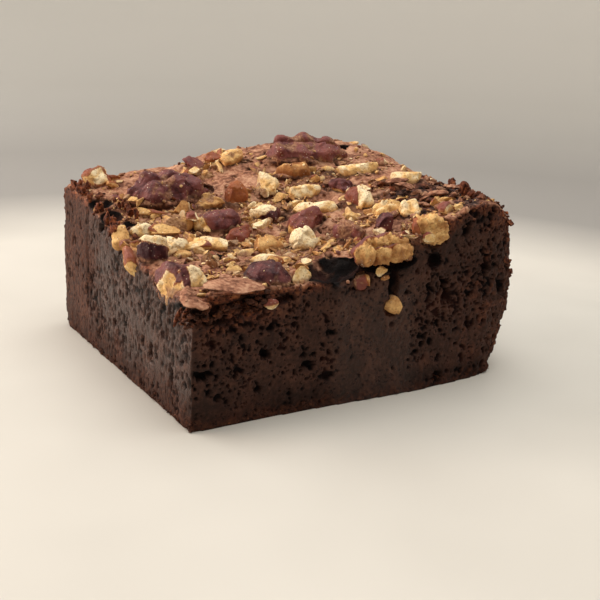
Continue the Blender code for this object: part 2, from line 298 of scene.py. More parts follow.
class crustLevel:   # height of the crust over any point, from rays dropped on an even raster
    step = 1.5     # mm between rays
    lowest = 12    # a ray that lands lower than this, in mm, missed the crust

    def __init__(self, mesh):
        tree = BVHTree.FromPolygons([v.co for v in mesh.vertices], [p.vertices for p in mesh.polygons])
        low, high = np.array(brownieLow) / mm, np.array(brownieHigh) / mm
        self.low = low[:2] - 3
        self.shape = np.ceil((high[:2] + 3 - self.low) / self.step).astype(int) + 1
        level = np.full(self.shape, np.nan)
        for i, j in itertools.product(*map(range, self.shape)):
            x, y = self.low + self.step * np.array((i, j))
            hit = tree.ray_cast(Vector((x * mm, y * mm, 0.1)), Vector((0, 0, -1)))[0]
            if hit and hit.z / mm > self.lowest:
                level[i, j] = hit.z / mm
        for turn in range(12):   # spreads outwards past the walls
            near = self.around(level)
            known = ~np.isnan(near)
            mean = np.where(known, near, 0).sum(0) / np.maximum(known.sum(0), 1)
            level = np.where(np.isnan(level) & known.any(0), mean, level)
        level = np.where(np.isnan(level), np.nanmean(level), level)
        for pick in (np.maximum, np.minimum):   # bridges the holes
            for turn in range(3):
                level = pick(level, pick.reduce(self.around(level)))
        for turn in range(3):
            level = 0.5 * level + 0.5 * self.around(level).mean(0)
        self.level = level

    def around(self, level):   # the four neighbours of every place on the raster
        return np.stack([np.roll(level, step, axis) for axis in (0, 1) for step in (1, -1)])

    def at(self, x, y):
        place = (np.stack([x, y], -1) - self.low) / self.step
        place = np.clip(place, 0, np.array(self.shape) - 1.001)
        cell = place.astype(int)
        part = place - cell
        i, j, u, v = cell[..., 0], cell[..., 1], part[..., 0], part[..., 1]
        level = self.level
        return ((level[i, j] * (1 - u) + level[i + 1, j] * u) * (1 - v)
                + (level[i, j + 1] * (1 - u) + level[i + 1, j + 1] * u) * v)


# air bubbles: each kind is strewn over one wall; size is the half width in mm, stretch is height over width
bubbleKinds = {
    "front small": {"wall": "front", "count": 3600, "size": (0.18, 0.40), "stretch": (0.45, 1.2)},
    "front middling": {"wall": "front", "count": 260, "size": (0.38, 0.70), "stretch": (0.45, 1.2)},
    "front large": {"wall": "front", "count": 20, "size": (0.7, 1.1), "stretch": (0.6, 1.5)},
    "left small": {"wall": "left", "count": 2600, "size": (0.17, 0.34), "stretch": (1.2, 3.2)},
    "left middling": {"wall": "left", "count": 170, "size": (0.30, 0.5), "stretch": (1.3, 2.8)},
    "right small": {"wall": "right", "count": 700, "size": (0.3, 0.7), "stretch": (0.7, 1.3)},
    "back small": {"wall": "back", "count": 700, "size": (0.3, 0.7), "stretch": (0.7, 1.3)},
    "crust holes": {"wall": "top", "count": 90, "size": (0.35, 0.9), "stretch": (0.7, 1.4)},
}

# bubbles with a place of their own: wall, mm along it from the cut corner, height (on the crust: mm from
# the long cut), half width, half height, depth
bubblePlaces = (
    ("front", 52.6, 26.6, 1.5, 1.3, 1.8),
    ("front", 55.7, 21.4, 1.1, 1.2, 2.2),
    ("front", 56.4, 18.8, 0.9, 1.8, 1.8),
    ("front", 60.4, 31.6, 1.2, 1.2, 1.6),
    ("front", 66.4, 23.9, 1.4, 1.7, 2.0),
    ("front", 63.0, 12.0, 0.9, 1.3, 1.4),
    ("front", 49.5, 8.0, 1.2, 0.6, 1.0),
    ("front", 2.5, 10.5, 2.1, 0.8, 1.6),
    ("front", 14.9, 12.7, 1.3, 0.9, 1.6),
    ("front", 20.7, 17.6, 1.0, 0.7, 1.4),
    ("front", 24.0, 9.2, 1.1, 0.7, 1.4),
    ("front", 9.0, 10.5, 0.9, 0.7, 1.0),
    ("front", 13.3, 5.8, 1.1, 0.6, 1.0),
    ("front", 28.5, 6.0, 1.2, 0.9, 1.2),
    ("left", 21.0, 10.5, 0.8, 1.4, 1.4),
    ("left", 17.6, 9.6, 0.7, 1.7, 1.4),
    ("left", 8.1, 7.6, 0.7, 1.9, 1.6),
    ("left", 3.6, 12.1, 0.7, 0.8, 1.2),
    ("left", 29.4, 19.0, 0.7, 1.1, 1.2),
    ("left", 43.0, 28.0, 1.3, 1.0, 1.6),
    ("top", 33.0, 24.6, 1.4, 1.0, 1.6),
    ("top", 20.0, 9.0, 1.2, 0.7, 1.2),
    ("top", 26.0, 32.5, 1.3, 0.8, 1.4),
)


# each wall: the axis that runs along it, and the way inwards
wallFrames = {
    "front": (0, (0, 1, 0)), "left": (1, (1, 0, 0)), "right": (1, (-1, 0, 0)),
    "back": (0, (0, -1, 0)), "top": (0, (0, 0, -1)),
}


def bubbleOdds(wall, along, height):   # how likely a bubble is to be there, 0 to 1
    patch = 0.5 + 0.5 * lumps(np.array([[along, height, 7.0]]), 8.0, seed=44, layers=2)[0]
    patch = float(ease(0.25, 0.75, patch))
    if wall == "front":
        smeared = ease(27, 32, along) * (1 - ease(46, 51, along)) * (1 - ease(18, 25, height))
        lowLeft = ease(9, 4, height) * ease(30, 24, along)
        return (0.15 + 0.85 * patch) * (1 - 0.96 * smeared) * (1 - 0.6 * lowLeft)
    if wall == "left":
        return (0.3 + 0.7 * patch) * (1 - 0.85 * ease(50.5, 52, along)) * (0.3 + 0.7 * ease(3, 9, height))
    if wall == "top":
        return 0.3 + 0.7 * patch
    return 0.4 + 0.6 * patch


def strewBubbles():
    width = (brownieHigh.x - brownieLow.x) / mm
    depth = (brownieHigh.y - brownieLow.y) / mm
    dice = np.random.default_rng(11)
    bubbles = []
    for kind in bubbleKinds.values():
        wall = kind["wall"]
        run = depth if wall in ("left", "right") else width
        for turn in range(kind["count"]):
            along = dice.uniform(0.4, run - 1)
            height = dice.uniform(0.3, depth - 2 if wall == "top" else 41)
            size = dice.uniform(*kind["size"])
            stretch = dice.uniform(*kind["stretch"])
            if dice.random() > bubbleOdds(wall, along, height):
                continue
            wide = size * (1.25 if wall == "front" and along > 50 else 1.0)
            bubbles.append((wall, along, height, wide, wide * stretch, size * dice.uniform(1.2, 2.0)))
    return bubbles + list(bubblePlaces)


# points in a hollow move out to its wall; also how far each lies in one, 0 to 1
def carveHollows(points, z):
    deepIn = np.zeros(len(points))
    uneven = 1 + 0.16 * lumps(points, 1.6, seed=71, layers=2)
    for middle, halves in brownie["hollows"].values():
        way = (points - cutCorner - middle) / halves
        reach = np.linalg.norm(way, axis=1) * uneven
        out = np.clip(1 / np.maximum(reach, 0.2), 1, 4)[:, None]
        points = points + (way * halves) * (out - 1) * (z > 8)[:, None]
        deepIn = np.maximum(deepIn, ease(1.2, 1.02, reach))
    return points, deepIn


# how deep a bubble is at each point, and how far the point lies in one, 0 to 1, the latter painted as shade
def sinkBubbles(mesh, points, facing, treeOf):
    form = BVHTree.FromPolygons([v.co for v in mesh.vertices], [p.vertices for p in mesh.polygons])
    dent, hollow = np.zeros(len(points)), np.zeros(len(points))
    wobble = lumps(points, 0.9, seed=5, layers=3)
    for wall, along, height, halfWide, halfHigh, deep in strewBubbles():
        axis, inward = wallFrames[wall]
        start = np.array(cutCorner)
        start[axis] += along
        if wall == "top":
            start[1] += height
            start[2] = 80   # above the crust
        else:
            start[2] = height
            start[1 - axis] += -40 if inward[1 - axis] > 0 else 140   # outside the wall
        hit = form.ray_cast(Vector(start * mm), Vector(inward))[0]
        if not hit:
            continue
        found = [index for _, index, _ in treeOf.find_range(hit / mm, 1.4 * max(halfWide, halfHigh))]
        if not found:
            continue
        away = points[found] - np.array(hit) / mm
        reach = np.hypot(away[:, axis] / halfWide, away[:, 1 if wall == "top" else 2] / halfHigh)
        reach = reach * (1 + 1.1 * wobble[found])
        push = deep * np.clip(1 - reach ** 3, 0, 1) * facing[wall][found]
        dent[found] = np.maximum(dent[found], push)
        hollow[found] = np.maximum(hollow[found], np.clip(1.5 * push / deep, 0, 1))
    return dent, hollow


# where the crust swells up beside a pecan, and the painted shade in the crevice between the two
def besidePecans(points, edge, treeOf):
    beside, creviceShade = np.zeros(len(points)), np.zeros(len(points))
    for name in sorted(nodes):
        if name == "brownie":
            continue
        nut = nodeShape(name)
        nutTree = BVHTree.FromBMesh(nut)
        middle = sum((v.co for v in nut.verts), Vector()) / len(nut.verts)
        reach = max((v.co - middle).length for v in nut.verts)
        near = [index for _, index, _ in treeOf.find_range(middle / mm, reach / mm + 2.5)]
        gaps = np.array([nutTree.find_nearest(Vector(points[i] * mm))[3] / mm for i in near])
        beside[near] = np.maximum(beside[near], np.exp(-gaps ** 2))
        creviceShade[near] = np.maximum(creviceShade[near], ease(0.75, 0.25, gaps + 0.5 * edge[near]))
        nut.free()
    return beside, creviceShade


def makeBrownie(material):
    obj = browniePlain()
    mesh = obj.data
    crust = crustLevel(mesh)
    points = readPoints(mesh)
    flat = average(mesh, readNormals(mesh), 4)   # normals of the broad form
    flat /= np.linalg.norm(flat, axis=1)[:, None]
    here = points - cutCorner
    x, y, z = here.T
    sink = crust.at(points[:, 0], points[:, 1]) - points[:, 2]   # mm below the crust
    low = z < 0.45   # the base and its rim, which stay flat
    edge = lumps(points, 2.5, seed=15, layers=3)
    up = ease(0.30, 0.75, flat[:, 2]) * ease(2.4, 1.2, sink + 0.5 * edge)
    facing = {
        "front": ease(0.5, 0.8, -flat[:, 1]) * ease(3.5, 2.0, y),
        "left": ease(0.5, 0.8, -flat[:, 0]) * ease(3.0, 1.5, x),
        "right": ease(0.5, 0.8, flat[:, 0]),
        "back": ease(0.5, 0.8, flat[:, 1]),
        "top": up,
    }
    front, left = facing["front"], facing["left"]
    cut = np.clip(front + left, 0, 1)
    fromBaked = (brownie["cutLong"] - x, brownie["cutShort"] - y)   # mm in from the two baked sides
    # away from every outer face: the walls of pockets and holes, and the base
    inside = ease(1.2, 2.2, sink) * ease(1.6, 2.8, x) * ease(1.6, 2.8, y)
    inside = inside * ease(5, 6.5, fromBaked[0]) * ease(5, 6.5, fromBaked[1])
    baked = np.clip(ease(0.25, 0.6, flat[:, 0]) + ease(0.25, 0.6, flat[:, 1]), 0, 1)
    baked = baked * (1 - up) * (1 - inside)
    print("brownie: even grid of", len(points), "points")

    points, deepIn = carveHollows(points, z)
    treeOf = KDTree(len(points))
    for i, point in enumerate(points):
        treeOf.insert(point, i)
    treeOf.balance()
    dent, hollow = sinkBubbles(mesh, points, facing, treeOf)
    print("brownie: bubbles sunk into the walls")

    # roughness of each kind of surface, moved along the broad normals
    smearFront = ease(27, 33, x) * (1 - ease(45, 52, x)) * (1 - ease(19, 26, z)) * front
    strip = ease(51.5, 52.3, y) * left
    gloss = ease(52, 40, y + 6 * lumps(points, 9, seed=18)) * ease(2, 9, z + 3 * lumps(points, 5, seed=19))
    smear = np.clip((0.15 + 0.95 * gloss) * left + smearFront, 0, 1)
    dragged = 0.16 * lumps(points * (1, 1, 0.35), 0.9, seed=2, layers=2)   # upright marks of the knife
    score = 0.5 * np.exp(-((y - 51) / 0.5) ** 2) * ease(6, 12, z)   # an upright line in it
    roughCut = 0.13 * lumps(points, 2.2, seed=1, layers=4)
    roughCut += left * (dragged - score)
    roughCut += 0.25 * lumps(points * (1, 1, 0.3), 6, seed=16) * smearFront
    gap = grains(points, 1.5, seed=20)
    fineGap = grains(points, 0.9, seed=25)
    roughBaked = (0.50 * (0.55 - gap) + 0.30 * (0.5 - fineGap) + 0.25 * lumps(points, 0.8, seed=3, layers=2)
                  + 0.40 * lumps(points, 3.5, seed=4, layers=2))
    bend = points + 1.5 * np.stack([lumps(points, 4.0, seed=k) for k in (61, 62, 63)], -1)
    ridges = 1 - np.abs(lumps(bend * (1, 1.5, 1), 3.6, seed=6, layers=2))
    roughCrust = 0.36 * (ridges ** 4 - 0.45) + 0.10 * lumps(points, 0.9, seed=7, layers=3)
    roughCrust += 0.45 * lumps(points, 4.5, seed=8)
    cornered = 0.5 * ease(0.2, 0.6, -flat[:, 0] - flat[:, 1])
    nearRim = ease(2.6, 0.4, sink + 1.2 * edge) * np.clip(cut + cornered, 0, 1)
    roughRim = 0.6 * (0.5 - grains(points, 1.2, seed=40)) + 0.3 * lumps(points, 0.8, seed=9, layers=2)
    rag = lumps(points * (1, 1, 0.4), 3.0, seed=17, layers=2)
    foot = ease(2.6, 0.3, z + 1.3 * rag) * ease(0.02, 0.3, z) * (1 - baked * 0.4)
    roughFoot = 0.6 * (0.42 - gap) + 0.3 * (0.5 - fineGap) + 0.8 * rag * ease(8, 24, x)
    farEnd = ease(58, 70, x + 4 * edge) * front   # the cut turns crumbly towards the baked end

    # the crust is torn away over the top right corner, and frayed along the cuts
    fromTear = np.hypot((x - 62) / 14, (y - 12) / 11.5)
    torn = ease(1.0, 0.7, fromTear + 0.28 * lumps(points, 4.0, seed=12, layers=2)) * up
    roughTorn = 1.0 * (0.5 - grains(points, 2.4, seed=70)) + 0.35 * (0.5 - gap)
    roughTorn += 0.25 * lumps(points, 0.9, seed=13, layers=2)
    fray = ease(1.3, 0.1, np.minimum(x, y) + 1.1 * edge) * up
    crustMask = np.clip(up * (1 - torn) * (1 - 0.85 * fray) * (1 - deepIn), 0, 1)
    crumbly = np.exp(-((x - 8) / 9) ** 2 - ((z - 21.5) / 3) ** 2 - (y / 3) ** 2) * (1 - crustMask)

    beside, creviceShade = besidePecans(points, edge, treeOf)
    move = roughCut * cut * (1 - nearRim) * (1 - foot) + roughRim * nearRim
    move += roughBaked * baked + roughCrust * crustMask + roughTorn * torn + roughFoot * foot
    move += 0.8 * roughBaked * np.maximum(farEnd, inside) + brownie["hug"] * beside * crustMask
    move += 0.8 * roughRim * crumbly
    move = move * (1 - np.maximum(hollow, deepIn)) - dent + 0.25 * roughBaked * deepIn
    move *= 1 - 0.7 * low
    points = points + flat * move[:, None]
    points[:, 2] = np.where(low, np.minimum(points[:, 2], 0.12), points[:, 2])
    points[:, 2] = np.maximum(points[:, 2], 0.0)
    writePoints(mesh, points)
    rust = 0.32 * baked + 0.6 * nearRim + 0.3 * foot + 0.35 * farEnd * ease(-0.1, 0.5, edge) + 0.8 * fray
    rust += 0.7 * crumbly + 0.6 * torn * ease(0.0, 0.4, edge) + 0.15 * left * (1 - gloss)
    rust = np.clip(rust, 0, 1) * (0.55 + 0.45 * ease(-0.3, 0.3, lumps(points, 1.6, seed=30, layers=2)))
    paint(mesh, "crust", crustMask)
    footDarkAndShade = 0.5 * ease(9, 0.5, z + 3 * rag) * cut   # painted shade towards the foot of the cuts, where the dense crumb is a little darker too
    # painted shade: darker in bubbles, pockets, holes, the base, the crevices beside the pecans and towards
    # the foot of the cuts
    shade = np.maximum.reduce([hollow, inside, deepIn, 0.75 * creviceShade * up, footDarkAndShade])
    paint(mesh, "hollow", np.clip(shade - 0.3 * crumbly, 0, 1))
    paint(mesh, "rust", rust)
    paint(mesh, "smear", smear * (1 - strip * 0.3))
    paint(mesh, "left", left)
    paint(mesh, "torn", torn)
    thin = obj.modifiers.new("thin", "DECIMATE")   # down to the number of triangles it may have
    count = sum(len(p.vertices) - 2 for p in mesh.polygons)
    thin.ratio = min(1.0, brownie["triangles"] / count)
    mesh = applied(obj)
    smoothShade(mesh)
    mesh.materials.clear()
    mesh.materials.append(material)
    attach(obj, "root")
    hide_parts("brownie")
    print("brownie:", len(mesh.polygons), "triangles after thinning")
    return obj, crust


def brownieMaterial():
    # chocolate brownie, baked and knife-cut: moist dark crumb that drinks light, under a dry papery crust
    material, tree, shader = newMaterial("chocolateBrownieBakedAndKnifeCut")
    place = addNode(tree, "TexCoord").outputs["Object"]
    crust, hollow, rust, smear, torn, left = [
        addNode(tree, "Attribute", attribute_name=name).outputs["Fac"]
        for name in ("crust", "hollow", "rust", "smear", "torn", "left")]
    broad = addNode(tree, "TexNoise", {"Vector": place, "Scale": perMm(5), "Detail": 4.0}).outputs["Fac"]
    fine = addNode(tree, "TexNoise", {"Vector": place, "Scale": perMm(0.8), "Detail": 5.0}).outputs["Fac"]
    both = addNode(tree, "Math", {0: broad, 1: fine}, operation="ADD").outputs[0]
    both = addNode(tree, "Math", {0: both, 1: 0.5}, operation="MULTIPLY").outputs[0]
    # bubbles too fine for the mesh, round ones and tall ones where the knife dragged: dents of bump, darkened
    # as painted shade
    swirl = addNode(tree, "TexNoise", {"Vector": place, "Scale": perMm(0.6), "Detail": 2.0}).outputs["Color"]
    swirl = addNode(tree, "VectorMath", {0: swirl, "Scale": 0.9 * mm}, operation="SCALE").outputs[0]
    bent = addNode(tree, "VectorMath", {0: place, 1: swirl}, operation="ADD").outputs[0]
    tall = addNode(tree, "Mapping", {"Vector": bent, "Scale": (1.0, 1.0, 0.4)}).outputs[0]
    roundDots = addNode(tree, "TexVoronoi", {"Vector": bent, "Scale": perMm(0.85)}).outputs["Distance"]
    tallDots = addNode(tree, "TexVoronoi", {"Vector": tall, "Scale": perMm(0.7)}).outputs["Distance"]
    dots = addNode(tree, "Mix", {0: left, 2: roundDots, 3: tallDots}).outputs[0]
    dots = addNode(tree, "MapRange", {
        "Value": dots, "From Min": 0.22, "From Max": 0.34, "To Min": 1.0, "To Max": 0.0}).outputs[0]
    gate = addNode(tree, "MapRange", {"Value": broad, "From Min": 0.38, "From Max": 0.5}).outputs[0]
    dots = addNode(tree, "Math", {0: dots, 1: gate}, operation="MULTIPLY").outputs[0]
    bare = addNode(tree, "Math", {0: 1.0, 1: crust}, operation="SUBTRACT").outputs[0]
    dots = addNode(tree, "Math", {0: dots, 1: bare}, operation="MULTIPLY").outputs[0]

    colour = addNode(tree, "ValToRGB", {"Fac": both}, stops=brownie["crumbStops"]).outputs[0]
    tone = addNode(tree, "ValToRGB", {"Fac": fine}, stops=brownie["tornStops"]).outputs[0]
    colour = addNode(tree, "Mix", {0: torn, 6: colour, 7: tone}, data_type="RGBA").outputs[2]
    tone = addNode(tree, "ValToRGB", {"Fac": fine}, stops=brownie["rustStops"]).outputs[0]
    colour = addNode(tree, "Mix", {0: rust, 6: colour, 7: tone}, data_type="RGBA").outputs[2]
    tone = addNode(tree, "ValToRGB", {"Fac": both}, stops=brownie["crustStops"]).outputs[0]
    colour = addNode(tree, "Mix", {0: crust, 6: colour, 7: tone}, data_type="RGBA").outputs[2]
    # painted shade: the fine bubbles and the hollows take the near-black pore colours
    dark = addNode(tree, "Math", {0: dots, 1: 0.8}, operation="MULTIPLY").outputs[0]
    dark = addNode(tree, "Math", {0: dark, 1: hollow}, operation="MAXIMUM").outputs[0]
    tone = addNode(tree, "ValToRGB", {"Fac": broad}, stops=brownie["poreStops"]).outputs[0]
    colour = addNode(tree, "Mix", {0: dark, 6: colour, 7: tone}, data_type="RGBA").outputs[2]
    tree.links.new(colour, shader.inputs["Base Color"])
    rough = addNode(tree, "MapRange", {"Value": smear, "To Min": 0.75, "To Max": 0.36}).outputs[0]
    rough = addNode(tree, "Math", {0: dark, 1: 0.3, 2: rough}, operation="MULTIPLY_ADD").outputs[0]
    tree.links.new(rough, shader.inputs["Roughness"])
    # the crust is smoother than the crumb
    calm = addNode(tree, "MapRange", {"Value": crust, "To Min": 1.0, "To Max": 0.45}).outputs[0]
    height = addNode(tree, "Math", {0: fine, 1: calm}, operation="MULTIPLY").outputs[0]
    height = addNode(tree, "Math", {0: dots, 1: -0.9, 2: height}, operation="MULTIPLY_ADD").outputs[0]
    bump = addNode(tree, "Bump", {"Height": height, "Strength": 0.9, "Distance": 0.32 * mm}).outputs[0]
    tree.links.new(bump, shader.inputs["Normal"])
    shader.inputs["IOR"].default_value = 1.45
    shader.inputs["Specular IOR Level"].default_value = 0.27
    return material


brownieLook = brownieMaterial()
body, crust = makeBrownie(brownieLook)


# pecans: every CAD piece gets its lobes, wrinkles and broken faces
pecans = {
    "grid": 0.24,          # mm between points
    "quickGrid": 1.5,      # how much coarser a quick, rough grid would be
    "swell": 0.4,          # mm added all round
    # violet-dark to orange-brown, and cream to toasted
    "skinStops": ((0, "#36141b"), (0.3, "#784442"), (0.7, "#844634"), (1, "#9a5830")),
    "kernelStops": ((0, "#f5e2ba"), (0.25, "#e8be7d"), (0.65, "#c08c55"), (1, "#855029")),
    "toastColour": "#855029",
    "rimColour": "#8a4318",      # along the edge of the skin
    "rimStops": ((0.05, 0.0), (0.45, 1.0), (0.75, 0.7), (1.0, 0.0)),   # how much of it, from skin to kernel
    "dustColour": "#ecdfc8",
    "filmStops": ((0.35, "#6b4432"), (0.5, "#8e6349"), (0.65, "#aa8262")),   # crust baked on over a nut
    # each piece: skin tone and kernel roast, 0 pale or violet to 1 brown, then its own traits
    "pieces": {
        "half_left": {"cuts": 2, "skin": 0.2, "roast": 0.3, "lobes": 0.9, "film": 0.3},
        "half_back": {"cuts": 2, "skin": 0.36, "roast": 0.5, "lobes": 0.9, "film": 0.36},
        "half_edge": {"cuts": 0, "skin": 0.25, "roast": 0.52, "trim": 1.5, "teeth": 0.6, "scallops": 3.6,
                      "bareTowards": (0.1, -1, 0.0), "bareFrom": 0.05},
        "slice_back_left": {"roast": 0.85, "grainy": 0.5},
        "slice_back_right": {"roast": 0.22, "grainy": 0.5},
        "slice_far_right": {"roast": 0.2, "grainy": 0.4},
        "slice_curved_left": {"roast": 0.14, "grainy": 0.5},
        "slice_curved_right": {"roast": 0.12, "grainy": 0.5},
        "slice_slim": {"roast": 0.2, "grainy": 0.5, "film": 0.0},
        "slice_over_red": {"roast": 0.12, "grainy": 0.6},
        "slice_edge": {"roast": 0.4, "grainy": 0.6, "film": 0.3},
        "wedge_yellow": {"roast": 0.12, "grainy": 0.8, "bare": True},
        "wedge_red": {"skin": 0.68, "roast": 0.05, "grainy": 0.9, "whole": True,
                      "bareSides": (((0.84, -0.54, 0.2), 0.7), ((-0.84, 0.54, 0.2), 1.9))},
        "nub_brown": {"skin": 0.9, "roast": 0.6},
        "stick_dark": {"cuts": 2, "skin": 0.24, "roast": 0.15},
        "quarter_red": {"skin": 0.45, "roast": 0.3},
        "quarter_purple": {"skin": 0.36, "roast": 0.3, "film": 0.5},
        "round_red": {"skin": 0.1, "roast": 0.2},
        "big_purple": {"skin": 0.2, "roast": 0.08, "grainy": 0.8, "film": 0.0,
                       "whole": True, "bareSides": (((0.84, -0.54, 0.3), 1.7), ((-0.93, -0.36, 0), 2.4))},
        "cube_dark": {"cuts": 0, "skin": 0.0, "roast": 0.05, "film": 0.1,
                      "whole": True, "bareSides": (((0.35, 0.3, 0.9), 1.3),)},
        "chunk_olive": {"skin": 0.6, "roast": 0.58, "grainy": 0.9, "bare": True, "film": 0.35},
        "chunk_purple": {"skin": 0.2, "roast": 0.3, "skinOver": 0.9},
        "chunk_round": {"roast": 0.0, "grainy": 1.2, "bare": True},
        "chunk_oblong": {"roast": 0.6, "grainy": 0.9, "bare": True},
        "chunk_tan": {"skin": 0.85, "roast": 0.42, "grainy": 1.0, "teeth": 0.9, "film": 0.0,
                      "whole": True, "bareSides": (((0.9, -0.4, 0.1), -1.9),)},
        "chunk_pair_left": {"roast": 0.2, "grainy": 1.0, "bare": True},
        "chunk_pair_right": {"roast": 0.2, "grainy": 1.0, "bare": True},
        "chunk_corner": {"skin": 0.8, "roast": 0.15, "grainy": 0.9},
        "chunk_lump": {"skin": 0.8, "roast": 0.5, "grainy": 0.8, "bare": True, "film": 0.6},
        "chunk_left": {"skin": 0.7, "roast": 0.12, "grainy": 0.9, "bare": True, "film": 0.3},
        "chunk_back": {"skin": 0.6, "roast": 0.4, "grainy": 0.9, "bare": True, "film": 0.3},
        "flake_orange": {"skin": 0.7, "roast": 0.4},
        "flake_light": {"roast": 0.05, "grainy": 1.0, "bare": True},
        "shell_dark": {"skin": 0.05, "roast": 0.05, "whole": True, "bareSides": (((-0.4, 0.2, 0.9), 0.9),)},
        "chunk_in_face": {"skin": 0.6, "roast": 0.7, "grainy": 1.0, "film": 0.25,
                          "whole": True, "bareSides": (((0.9, -0.3, 0.3), 0.9),)},
        "stub_in_face": {"skin": 0.6, "roast": 0.42, "grainy": 1.1, "bare": True, "film": 0.2},
    },
}
kernelSlots = {m["node"] for m in frame["record"]["subparts"] if m["material_slot"] == "pecan_kernel"}


def brokenFaces(shape):   # the faces that lie together on one flat fracture
    planes = {}
    for face in shape.faces:
        offset = round(face.normal.dot(face.verts[0].co) / (0.1 * mm))
        planes.setdefault((*(round(c * 40) for c in face.normal), offset), []).append(face)
    broken = set()
    for group in planes.values():
        if len(group) >= 4 or sum(f.calc_area() for f in group) > 6 * mm ** 2:
            broken.update(f.index for f in group)
    return broken


def facets(points, size, seed):   # flat patches, each tilted its own way, about -1 to 1
    place = points / size
    cell = np.floor(place).astype(np.int64)
    nearest, tilt = np.full(len(points), 9.0), np.zeros(len(points))
    for step in itertools.product((-1, 0, 1), repeat=3):
        there = cell + np.array(step)
        away = place - there - np.stack([hashed(there, seed + k) for k in (1, 2, 3)], -1)
        lean = np.stack([hashed(there, seed + k) * 2 - 1 for k in (4, 5, 6)], -1)
        gap = (away ** 2).sum(-1)
        tilt = np.where(gap < nearest, (away * lean).sum(-1) + 0.5 * hashed(there, seed + 7) - 0.25, tilt)
        nearest = np.minimum(gap, nearest)
    return tilt


def filmed(points, share, seed):   # crust baked on: patches over the nut, and a ring where it meets the crust
    above = points[:, 2] - crust.at(points[:, 0], points[:, 1])
    patch = lumps(points, 2.0, seed=seed + 30, layers=3)
    within = (points[:, :2] > cutCorner[:2] + 0.4).all(1)   # not where the knife cut
    ring = ease(0.7, 0.0, above + 0.6 * patch) * within
    patch = ease(0.12, -0.12, patch + 0.8 - 1.7 * share) * min(1, 3 * share)
    return np.clip(0.85 * patch + 0.8 * ring, 0, 1)


def barePart(name, look, seed, points, normals, centre, onBreak):   # where the kernel shows, 0 to 1
    if look.get("whole"):
        bare = np.zeros(len(points))
    elif look.get("bare") or name in kernelSlots and "skin" not in look:
        bare = np.ones(len(points))
    else:
        bare = onBreak
    if "bareTowards" in look:
        way = np.array(look["bareTowards"]) / np.linalg.norm(look["bareTowards"])
        bare = np.maximum(bare, ease(look["bareFrom"], look["bareFrom"] + 0.3, normals @ way))
    if "skinOver" in look:
        bare = bare * ease(look["skinOver"] - 0.3, look["skinOver"], 1 - normals[:, 2])
    for way, beyond in look.get("bareSides", ()):
        ragged = 0.5 * lumps(points, 1.6, seed=seed + 2, layers=2)
        bare = np.maximum(bare, ease(beyond - 0.15, beyond + 0.15, (points - centre) @ way + ragged))
    border = (bare > 0.02) & (bare < 0.98)   # ragged only where skin and kernel meet
    return ease(0.35, 0.65, bare + 0.3 * lumps(points, 1.2, seed=seed + 3, layers=2) * border)


